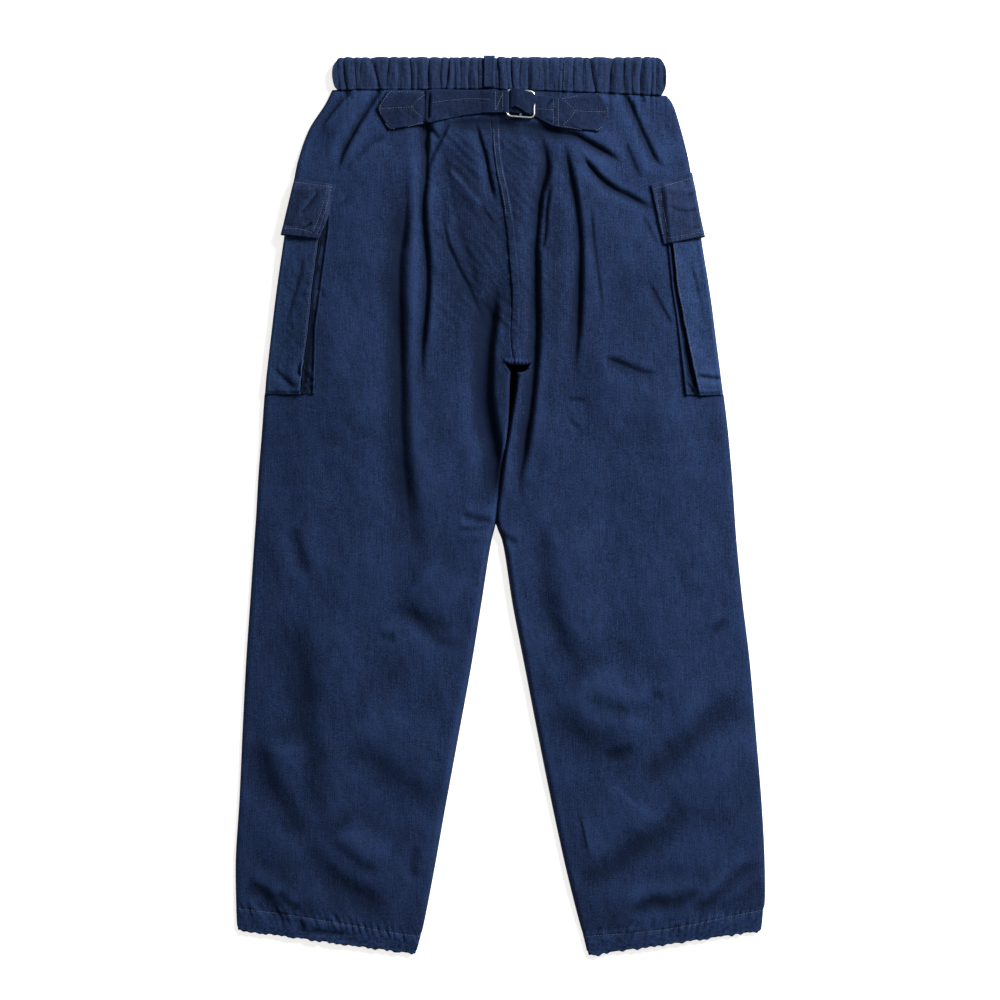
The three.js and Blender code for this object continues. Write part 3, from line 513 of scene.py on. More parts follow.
@dataclass(frozen=True)
class Relief:
    """Folds and sewn lines that shape a piece of cloth.

    Attributes:
        folds: Creases of the piece.
        seams: Sewn lines of the piece.
        seed: Seed of the unevenness along them.
        start_at_waist: Height above which a fold starts at full depth.
    """

    folds: tuple[Fold, ...] = ()
    seams: tuple[Seam, ...] = ()
    seed: int = 1
    start_at_waist: float = 440.0

    def fold_height(self, x: Array, y: Array) -> Array:
        """Works out the height that all folds add.

        Args:
            x: Places across, in one row.
            y: Places up, in one row.

        Returns:
            The heights.
        """
        height = np.zeros(x.shape)
        noise = Noise(self.seed)
        for number, fold in enumerate(self.folds):
            line = Line(fold.path)
            reach = 3.6 * max(fold.spread, fold.left[1], fold.right[1])
            near = line.near(x, y, reach)
            share = near.along / line.length
            start = 1.0 if fold.path[0][1] > self.start_at_waist else ease(share / 0.2)
            fade = start * ease((1 - share) / 0.25) * ease(2 * (1 - near.distance / reach))
            uneven = 1 + 0.22 * noise.at(near.along / 55, np.full(near.along.shape, 3.7 * number))
            tall = np.where(near.turn > 0, fold.right[0], fold.left[0])
            wide = np.where(near.turn > 0, fold.right[1], fold.left[1])
            upper = ease((y[near.index] + 80) / 160)
            broad = mix(1.15, 1, upper)
            rounded = mix(0.16, 0.08, upper)
            over = np.hypot(near.distance / (wide * broad), rounded) - rounded
            crisp = upper * (near.turn > 0)
            soft = over * np.exp((1 - over * over) / 2)
            steep = 1.15 * (1 - np.exp(-over / 0.2)) * np.exp(-(over / 1.8) ** 2)
            shoulder = tall * mix(soft, steep, crisp)
            spread = broad * fold.spread * np.where(near.turn > 0, mix(1, 0.55, upper), 1.6)
            trough = fold.trough * np.exp(-(near.distance / spread) ** 2)
            crease = 1.3 * upper * fold.crease * np.exp(-(near.distance / 2.2) ** 2)
            height[near.index] += fade * uneven * (shoulder - trough - crease)
        return height

    def seam_height(self, x: Array, y: Array) -> Array:
        """Works out the height that all sewn lines add.

        Args:
            x: Places across, in one row.
            y: Places up, in one row.

        Returns:
            The heights.
        """
        height = np.zeros(x.shape)
        noise = Noise(self.seed + 50)
        for number, seam in enumerate(self.seams):
            line = Line(seam.path)
            near = line.near(x, y, max(3 * seam.reach, seam.bank_reach + 4))
            signed = near.distance * near.turn
            row = np.full(near.along.shape, 5.3 * number)
            drift = 2.6 * noise.at(near.along / 15, row)
            leaning = near.along + seam.slant * signed
            wave = 0.3 * np.sin(2 * math.pi * leaning / seam.pitch + drift)
            wave = wave + 1.2 * noise.at(leaning / (0.6 * seam.pitch), row + signed / 14)
            size = 0.65 + 0.6 * noise.at(near.along / 14, row + 9)
            added = seam.pucker * size * wave * np.exp(-(near.distance / seam.reach) ** 2)
            added -= seam.groove * np.exp(-(near.distance / 0.9) ** 2)
            bank = ease(signed / 1.6 + 0.5) * ease((seam.bank_reach - signed) / 1.2)
            height[near.index] += added + seam.bank * bank
        return height


@dataclass(frozen=True)
class Crumple:
    """Uneven lie of plain cloth, in layers from broad swells to fine wrinkles.

    Attributes:
        swell: Height of the broad swells.
        buckle: Height of the buckles a finger wide.
        wrinkle: Height of the fine wrinkles.
        seed: Seed of all layers.
        drawn: How much longer the swells are along the leg than across it.
    """

    swell: float = 0.8
    buckle: float = 0.35
    wrinkle: float = 0.16
    seed: int = 11
    drawn: float = 2.0

    def height(self, x: Array, y: Array) -> Array:
        """Works out the height of all layers.

        Args:
            x: Places across.
            y: Places up.

        Returns:
            The heights.
        """
        turned_x, turned_y = x * 0.94 + y * 0.34, y * 0.94 - x * 0.34
        broad = Noise(self.seed).at(turned_x / 46, turned_y / (46 * self.drawn))
        middle = Noise(self.seed + 1).at(turned_x / 15, turned_y / 24)
        fine = Noise(self.seed + 2).crumple(turned_x / 11, y / 15)
        finest = Noise(self.seed + 3).crumple(x / 5.5, turned_y / 6.5)
        return self.swell * broad + self.buckle * middle + self.wrinkle * (fine + 0.5 * finest)


def fine_form(x: Array, y: Array, relief: Relief, crumple: Crumple) -> Array:
    """Works out the height that folds, sewn lines and wrinkles add.

    Args:
        x: Places across, by row and column.
        y: Places up, by row and column.
        relief: Folds and sewn lines of the piece.
        crumple: Uneven lie of its cloth.

    Returns:
        The heights, by row and column.
    """
    flat_x, flat_y = x.reshape(-1), y.reshape(-1)
    drawn = relief.fold_height(flat_x, flat_y) + relief.seam_height(flat_x, flat_y)
    return (drawn + crumple.height(flat_x, flat_y)).reshape(x.shape)


def tube_faces(first: int, rings: int, sides: int, closed: bool = False) -> list[list[int]]:
    """Lists the faces of a tube.

    Args:
        first: Number of its first vertex.
        rings: Rings of vertices along it.
        sides: Vertices of each ring.
        closed: Whether the tube meets itself.

    Returns:
        The faces, with caps where the tube ends.
    """
    faces = []
    for i in range(rings if closed else rings - 1):
        here, there = first + i * sides, first + (i + 1) % rings * sides
        for k in range(sides):
            after = (k + 1) % sides
            faces.append([here + k, here + after, there + after, there + k])
    if not closed:
        faces.append([first + k for k in range(sides)][::-1])
        faces.append([first + (rings - 1) * sides + k for k in range(sides)])
    return faces


def blurred(values: Array, passes: int) -> Array:
    """Blurs a grid of values.

    Args:
        values: The grid.
        passes: Passes of a three-point blur each way.

    Returns:
        The blurred grid.
    """
    for _ in range(passes):
        padded = np.pad(values, 1, mode="edge")
        across = (padded[1:-1, :-2] + 2 * padded[1:-1, 1:-1] + padded[1:-1, 2:]) / 4
        padded = np.pad(across, 1, mode="edge")
        values = (padded[:-2, 1:-1] + 2 * padded[1:-1, 1:-1] + padded[2:, 1:-1]) / 4
    return values


def lowest(values: Array, reach: int) -> Array:
    """Finds the lowest value around each place of a grid.

    Args:
        values: The grid.
        reach: Steps each way that count.

    Returns:
        The grid of lowest values.
    """
    for _ in range(reach):
        padded = np.pad(values, 1, mode="edge")
        across = np.minimum(np.minimum(padded[:, :-2], padded[:, 1:-1]), padded[:, 2:])
        values = np.minimum(np.minimum(across[:-2], across[1:-1]), across[2:])
    return values


def make_object(name: str, places: Array, faces: list[Sequence[int]]) -> bpy.types.Object:
    """Makes a smooth mesh object.

    Args:
        name: Name of the piece.
        places: Vertices in millimetres.
        faces: Vertex numbers of each face.

    Returns:
        The object, in the scene.
    """
    mesh = bpy.data.meshes.new(name)
    mesh.from_pydata((places * MM).tolist(), [], faces)
    mesh.polygons.foreach_set("use_smooth", [True] * len(mesh.polygons))
    mesh.update()
    made = bpy.data.objects.new(name, mesh)
    bpy.context.scene.collection.objects.link(made)
    return made


@dataclass(frozen=True)
class ClothWall:
    """A closed shell of cloth around a grid of middle points.

    Attributes:
        name: Name of the piece.
        thickness: Thickness of the cloth.
        coarse: Grid steps between two vertices of the underside.
        ridge_span: Blur passes that tell ridges and hollows apart, for the wear on ridges and the painted
            shade in hollows.
        ridge_height: Height of a ridge that is worn in full, and the scale of the painted shade in hollows.
    """

    name: str
    thickness: float = CLOTH
    coarse: int = 1
    ridge_span: int = 6
    ridge_height: float = 0.3

    def build(
        self, middle: Array, thickness: Array | None = None, shade_and_wear: Array | float = 0.0,
    ) -> bpy.types.Object:
        """Builds the shell.

        Args:
            middle: Middle points, by row and column.
            thickness: Thickness by row, where it isn't even.
            shade_and_wear: How much darker the cloth is drawn, by row and column of the middle points; mostly
                painted shade, and below 0 where it is more worn.

        Returns:
            The shell's object.
        """
        rows, columns = middle.shape[:2]
        normal = np.cross(np.gradient(middle, axis=1), np.gradient(middle, axis=0))
        if normal[rows // 2, : max(2, columns // 5), 2].mean() < 0:
            middle, normal = middle[:, ::-1], -normal[:, ::-1]
            shade_and_wear = np.broadcast_to(shade_and_wear, (rows, columns))[:, ::-1]
        normal /= np.linalg.norm(normal, axis=2, keepdims=True) + 1e-9
        half = (np.full(rows, self.thickness) if thickness is None else thickness)[:, None, None] / 2
        upper, lower = middle + normal * half, middle - normal * half
        if self.coarse > 1:
            lower[..., 2] = lowest(lower[..., 2], self.coarse)
        at = np.arange(rows * columns).reshape(rows, columns)
        faces = self._quads(at)
        kept_rows = self._kept(rows)
        kept_columns = self._kept(columns)
        under = np.full((rows, columns), -1)
        count = rows * columns
        under[np.ix_(kept_rows, kept_columns)] = count + np.arange(
            len(kept_rows) * len(kept_columns)).reshape(len(kept_rows), len(kept_columns))
        faces += [face[::-1] for face in self._quads(under[np.ix_(kept_rows, kept_columns)])]
        places = [upper.reshape(-1, 3), lower[np.ix_(kept_rows, kept_columns)].reshape(-1, 3)]
        loop = [*at[0, :-1], *at[:-1, -1], *at[-1, :0:-1], *at[:0:-1, 0]]
        flat = middle.reshape(-1, 3)
        heading = np.roll(flat[loop], -1, axis=0) - np.roll(flat[loop], 1, axis=0)
        outward = np.cross(normal.reshape(-1, 3)[loop], heading)
        outward /= np.linalg.norm(outward, axis=1, keepdims=True) + 1e-9
        halves = np.broadcast_to(half, (rows, columns, 1)).reshape(-1, 1)[loop]
        places.append(flat[loop] + outward * halves * 0.6)
        rim = sum(len(part) for part in places[:2])
        faces += self._rim(loop, under.reshape(-1), rim)
        made = make_object(self.name, np.vstack(places), faces)
        self._store_wear_and_shade(made, upper[..., 2], shade_and_wear, len(loop))
        return made

    def _kept(self, count: int) -> list[int]:
        """Numbers of the rows or columns that the underside keeps."""
        return sorted({*range(0, count - 1, self.coarse), count - 1})

    @staticmethod
    def _quads(at: Array) -> list[list[int]]:
        """Quads of a grid of vertex numbers."""
        corners = (at[:-1, :-1], at[:-1, 1:], at[1:, 1:], at[1:, :-1])
        return np.stack([corner.reshape(-1) for corner in corners], axis=1).tolist()

    @staticmethod
    def _rim(loop: list[int], under: Array, rim: int) -> list[list[int]]:
        """Faces between the top, the rounded edge and the underside.

        Args:
            loop: Vertex numbers of the top's outline, in order.
            under: Number of the vertex below each one, or -1.
            rim: Number of the rounded edge's first vertex.

        Returns:
            The faces.
        """
        count = len(loop)
        faces = []
        for i in range(count):
            after = (i + 1) % count
            faces.append([loop[after], loop[i], rim + i, rim + after])
        stops = [i for i in range(count) if under[loop[i]] >= 0]
        for start, end in zip(stops, [*stops[1:], stops[0] + count]):
            arc = [rim + i % count for i in range(end, start - 1, -1)]
            faces.append([*arc, int(under[loop[start]]), int(under[loop[end % count]])])
        return faces

    def _store_wear_and_shade(self, made: bpy.types.Object, height: Array, shade_and_wear: Array | float, rim: int) -> None:
        """Stores wear and painted shade for each vertex: 1 on a worn ridge or edge, below 0 in a deep hollow,
        whose darkening is painted shade.

        Args:
            made: The shell's object.
            height: Height of the top, by row and column.
            shade_and_wear: How much darker the cloth is drawn; mostly painted shade, below 0 where it is more
                worn.
            rim: Vertices of the rounded edge, the last ones.
        """
        ridge = (height - blurred(height, self.ridge_span)) / self.ridge_height
        wear_and_shade = np.full(len(made.data.vertices), 0.5)
        rows, columns = height.shape
        down = np.minimum(np.arange(rows), np.arange(rows)[::-1])[:, None]
        across = np.minimum(np.arange(columns), np.arange(columns)[::-1])[None, :]
        edge = 0.4 * np.clip(1 - np.minimum(down, across) / 2.5, 0, 1)
        # Worn ridges and edges are lighter; hollows are darker, which is painted shade
        wear_and_shade[: height.size] = (np.clip(0.5 + ridge / 2 + edge, -0.7, 1) - shade_and_wear).reshape(-1)
        wear_and_shade[-rim:] = 1.0
        attribute = made.data.attributes.new("wear_and_shade", "FLOAT", "POINT")
        attribute.data.foreach_set("value", wear_and_shade)


class Nodes:
    """Adds and joins the nodes of one material."""

    def __init__(self, name: str) -> None:
        """Starts a material with an empty node tree."""
        self.material = bpy.data.materials.new(name)
        self.material.use_nodes = True
        self.tree = self.material.node_tree
        self.tree.nodes.clear()

    def add(
        self, kind: str, inputs: dict[str | int, object] | None = None, **settings: object,
    ) -> bpy.types.Node:
        """Adds a node.

        Args:
            kind: Blender's name of the node type.
            inputs: Value, or output to join, for each input.
            settings: Properties of the node.

        Returns:
            The node.
        """
        node = self.tree.nodes.new(kind)
        for key, value in settings.items():
            setattr(node, key, value)
        for key, value in (inputs or {}).items():
            if isinstance(value, bpy.types.NodeSocket):
                self.tree.links.new(value, node.inputs[key])
            else:
                node.inputs[key].default_value = value
        return node

    def math(self, operation: str, first: object, second: object) -> bpy.types.NodeSocket:
        """Joins two values by an operation."""
        return self.add("ShaderNodeMath", {0: first, 1: second}, operation=operation).outputs[0]

    def colours(
        self, share: object, first: object, second: object, blend: str = "MIX",
    ) -> bpy.types.NodeSocket:
        """Joins two colours by a share."""
        inputs = {0: share, 6: first, 7: second}
        return self.add("ShaderNodeMix", inputs, data_type="RGBA", blend_type=blend).outputs[2]

    def ramp(
        self, value: object, low: float, high: float, at_low: float, at_high: float,
    ) -> bpy.types.NodeSocket:
        """Turns the range from low to high into another one and holds the values past its ends."""
        inputs = {0: value, 1: low, 2: high, 3: at_low, 4: at_high}
        return self.add("ShaderNodeMapRange", inputs).outputs[0]

    def noise(
        self, place: object, scale: tuple[float, float, float], detail: float, rough: float = 0.55,
    ) -> bpy.types.NodeSocket:
        """Adds noise with its own scale along each axis.

        Args:
            place: Output that gives the place.
            scale: Cells to the metre along each axis.
            detail: Layers of finer noise.
            rough: Weight of each finer layer.

        Returns:
            The noise's output, from 0 to 1.
        """
        moved = self.add("ShaderNodeMapping", {"Vector": place, "Scale": scale})
        inputs = {"Vector": moved.outputs[0], "Scale": 1.0, "Detail": detail, "Roughness": rough}
        return self.add("ShaderNodeTexNoise", inputs).outputs["Fac"]

    def finish(self, shader: bpy.types.Node) -> bpy.types.Material:
        """Joins the shader to the output."""
        self.add("ShaderNodeOutputMaterial", {"Surface": shader.outputs[0]})
        return self.material


@dataclass(frozen=True)
class IndigoCloth:
    """Slubby indigo twill that fades on its ridges and edges, with painted shade that darkens it in hollows
    and makes it black in the deepest ones.

    Attributes:
        name: Name of the material.
        deep: Colour of the dark yarn.
        light: Colour of the light yarn.
        slub: Strength of the streaks along both yarns.
        wear_and_shade: Strength of the fading on ridges and edges and of the painted shade in hollows.
        sheen: Weight of the soft sheen.
    """

    # Wear-and-shade value at which painted shade makes the cloth black and at which it starts to darken it,
    # and the tint of its redder patches
    PAINTED_SHADE_RAMP: ClassVar[tuple[float, float]] = (-1.9, -1.0)
    PLUM: ClassVar[tuple[float, float, float]] = (1.35, 0.88, 0.86)

    name: str
    deep: tuple[float, float, float]
    light: tuple[float, float, float]
    slub: float = 1.0
    wear_and_shade: float = 0.5
    sheen: float = 0.03

    def material(self) -> bpy.types.Material:
        """Builds the material.

        Returns:
            The material.
        """
        nodes = Nodes(self.name)
        place = nodes.add("ShaderNodeTexCoord").outputs["Object"]
        weft = nodes.noise(place, (140, 1300, 400), 2)
        warp = nodes.noise(place, (1200, 45, 400), 2)
        fleck = nodes.noise(place, (900, 900, 900), 1.5, 0.75)
        cloud = nodes.noise(place, (30, 18, 30), 3)
        # Per-vertex value: fading on worn ridges and edges, painted shade in hollows
        wear_and_shade = nodes.add("ShaderNodeAttribute", attribute_name="wear_and_shade").outputs["Fac"]
        parts = (
            (weft, 0.8 * self.slub), (warp, 1.2 * self.slub), (fleck, 2.6 * self.slub),
            (cloud, 0.6), (wear_and_shade, self.wear_and_shade),
        )
        shade: object = 0.5
        for source, weight in parts:
            centred = nodes.math("SUBTRACT", source, 0.5)
            shade = nodes.math("ADD", shade, nodes.math("MULTIPLY", centred, weight))
        held = nodes.add("ShaderNodeClamp", {0: shade}).outputs[0]
        colour = nodes.colours(held, (*self.deep, 1), (*self.light, 1))
        # Painted shade: the colour is multiplied towards black in deep hollows, gaps and the mouth at the
        # crotch
        colour = nodes.colours(1.0, colour, nodes.ramp(wear_and_shade, *self.PAINTED_SHADE_RAMP, 0.1, 1.0), "MULTIPLY")
        patch = nodes.ramp(nodes.noise(place, (55, 40, 55), 4, 0.6), 0.35, 0.7, 0.0, 0.3)
        colour = nodes.colours(patch, colour, (*self.PLUM, 1), "MULTIPLY")
        yarn = nodes.math("ADD", nodes.math("ADD", weft, warp), fleck)
        weave = nodes.add("ShaderNodeBump", {"Height": yarn, "Strength": 0.55, "Distance": 0.00035})
        small = nodes.noise(place, (190, 130, 190), 3)
        relief = nodes.add(
            "ShaderNodeBump",
            {"Height": small, "Strength": 0.3, "Distance": 0.0008, "Normal": weave.outputs[0]},
        )
        return nodes.finish(nodes.add("ShaderNodeBsdfPrincipled", {
            "Base Color": colour, "Normal": relief.outputs[0], "Roughness": 0.88, "Sheen Weight": self.sheen,
            "Sheen Roughness": 0.5, "Sheen Tint": (0.35, 0.5, 1, 1), "Specular IOR Level": 0.06,
        }))


@dataclass(frozen=True)
class Nickel:
    """Bright wire with fine scratches.

    Attributes:
        name: Name of the material.
        colour: Colour of the metal.
    """

    name: str = "nickel_wire"
    colour: tuple[float, float, float] = (0.9, 0.89, 0.87)

    def material(self) -> bpy.types.Material:
        """Builds the material.

        Returns:
            The material.
        """
        nodes = Nodes(self.name)
        place = nodes.add("ShaderNodeTexCoord").outputs["Object"]
        scratch = nodes.noise(place, (400, 3000, 900), 3)
        rough = nodes.ramp(scratch, 0.0, 1.0, 0.16, 0.4)
        bump = nodes.add("ShaderNodeBump", {"Height": scratch, "Strength": 0.25, "Distance": 0.0001})
        return nodes.finish(nodes.add("ShaderNodeBsdfPrincipled", {
            "Base Color": (*self.colour, 1), "Metallic": 1.0, "Roughness": rough, "Normal": bump.outputs[0],
        }))


@dataclass(frozen=True)
class ThreadFinish:
    """Twisted sewing thread.

    Attributes:
        name: Name of the material.
        colour: Colour of the thread where it catches the light.
    """

    name: str
    colour: tuple[float, float, float]

    def material(self) -> bpy.types.Material:
        """Builds the material.

        Returns:
            The material.
        """
        nodes = Nodes(self.name)
        place = nodes.add("ShaderNodeTexCoord").outputs["Object"]
        twist = nodes.noise(place, (1800, 1800, 1800), 2)
        dark = tuple(0.55 * value for value in self.colour)
        colour = nodes.colours(twist, (*dark, 1), (*self.colour, 1))
        bump = nodes.add("ShaderNodeBump", {"Height": twist, "Strength": 0.5, "Distance": 0.0002})
        return nodes.finish(nodes.add("ShaderNodeBsdfPrincipled", {
            "Base Color": colour, "Roughness": 0.7, "Normal": bump.outputs[0], "Sheen Weight": 0.2,
        }))


@dataclass(frozen=True)
class PlainFloor:
    """Pale, matt studio floor, lit a little from below.

    Attributes:
        name: Name of the material.
        glow: Strength of its own light.
    """

    name: str = "pale_floor"
    glow: float = 0.72

    def material(self) -> bpy.types.Material:
        """Builds the material.

        Returns:
            The material.
        """
        nodes = Nodes(self.name)
        return nodes.finish(nodes.add("ShaderNodeBsdfPrincipled", {
            "Base Color": (0.9, 0.895, 0.885, 1), "Roughness": 0.9, "Specular IOR Level": 0.1,
            "Emission Color": (1, 0.985, 0.96, 1), "Emission Strength": self.glow,
        }))


Finish = IndigoCloth | Nickel | ThreadFinish

PANEL_CLOTH = IndigoCloth("indigo_panel", (0.0045, 0.0098, 0.0275), (0.0172, 0.0375, 0.1060), wear_and_shade=0.85)
POCKET_CLOTH = IndigoCloth("indigo_pocket", (0.0055, 0.0125, 0.0330), (0.0205, 0.0450, 0.1230), wear_and_shade=0.5)
# Gusset cloth: a darker copy of the pocket cloth, painted shade for the gap under the pocket face
SHADED_GUSSET_CLOTH = IndigoCloth("indigo_gusset_shaded", (0.0042, 0.0094, 0.0250), (0.0130, 0.0285, 0.0780), wear_and_shade=0.5)
STRAP_CLOTH = IndigoCloth("indigo_strap", (0.0029, 0.0058, 0.0158), (0.0108, 0.0220, 0.0620), wear_and_shade=0.8)
TRIM_CLOTH = IndigoCloth("indigo_trim", (0.0046, 0.0088, 0.0215), (0.0168, 0.0325, 0.0860), wear_and_shade=0.7)
THREAD = ThreadFinish("lilac_thread", (0.12, 0.15, 0.23))


@dataclass(frozen=True)
class Cut:
    """Flat size that a piece of cloth was cut to, in metres and square metres.

    Attributes:
        width: Width of the flat piece.
        length: Length of the flat piece.
        area: Area of the flat piece.
    """

    width: float
    length: float
    area: float


def report(piece: bpy.types.Object) -> None:
    """Logs a piece's name and triangles."""
    triangles = sum(len(face.vertices) - 2 for face in piece.data.polygons)
    logging.info("%s: %d triangles", piece.name, triangles)


def dress(piece: bpy.types.Object, finish: Finish, nodes: Iterable[str] = ()) -> None:
    """Gives a piece its finish, its body and the nodes that it stands for.

    Args:
        piece: The piece's object.
        finish: What it is made of.
        nodes: Nodes of the frame that it replaces.
    """
    piece.data.materials.append(bpy.data.materials.get(finish.name) or finish.material())
    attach(piece, "root")
    if nodes:
        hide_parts(*nodes)
    report(piece)


class Gathers:
    """Uneven gathers of the elastic waistband."""

    # Height of a full gather, and the least distance between two valleys
    HEIGHT = 3.3
    CLEAR = 4.2

    def __init__(self, seed: int = 5) -> None:
        """Fills the spaces between the strong valleys with weaker ones.

        Args:
            seed: Seed of the weaker valleys.
        """
        rng = np.random.default_rng(seed)
        valleys = list(STRONG_VALLEYS)
        x = WAIST_LEFT[0] - 6
        while x < WAIST_RIGHT[0] + 8:
            x += rng.uniform(5.0, 12.5)
            low_x = x + rng.uniform(-3, 3)
            depths = rng.uniform(0.1, 0.8, 2)
            apart = min(min(abs(x - v.top_x), abs(low_x - v.low_x)) for v in valleys)
            if apart > self.CLEAR:
                valleys.append(Valley(x, low_x, *depths))
        valleys += [Valley(-198, -198, 0.5, 0.5), Valley(198, 198, 0.5, 0.5)]
        self.valleys = sorted(valleys, key=lambda v: v.top_x + v.low_x)
        self.tall = rng.uniform(0.72, 1.12, len(self.valleys))

    def rise(self, x: Array, up: Array) -> Array:
        """Works out the height of the gathers.

        Args:
            x: Places across.
            up: Shares up the band.

        Returns:
            The heights, from 0 to about 1.
        """
        rise = np.zeros(np.broadcast(x, up).shape)
        curve = 1.2 * np.sin(np.pi * up)
        for number, (left, right) in enumerate(zip(self.valleys, self.valleys[1:])):
            start = mix(left.low_x, left.top_x, up) + curve * math.sin(left.top_x)
            end = mix(right.low_x, right.top_x, up) + curve * math.sin(right.top_x)
            share = (x - start) / (end - start)
            inside = (share >= 0) & (share < 1)
            left_depth = mix(left.low_depth, left.top_depth, up)
            depth = mix(left_depth, mix(right.low_depth, right.top_depth, up), share)
            floor = 0.78 * (1 - depth)
            crown = self.tall[number] * np.sqrt(np.clip((end - start) / 9, 0.5, 1.6))
            lean = share + 0.16 * math.sin(7 * number) * share * (1 - share) * 4
            arch = np.clip(1 - (2 * np.clip(lean, 0, 1) - 1) ** 2, 0, 1) ** 0.75
            rise = np.where(inside, floor + (crown - floor) * arch, rise)
        return rise * mix(0.4, 1, ease((np.abs(x - LOOP_X) - 7) / 4))


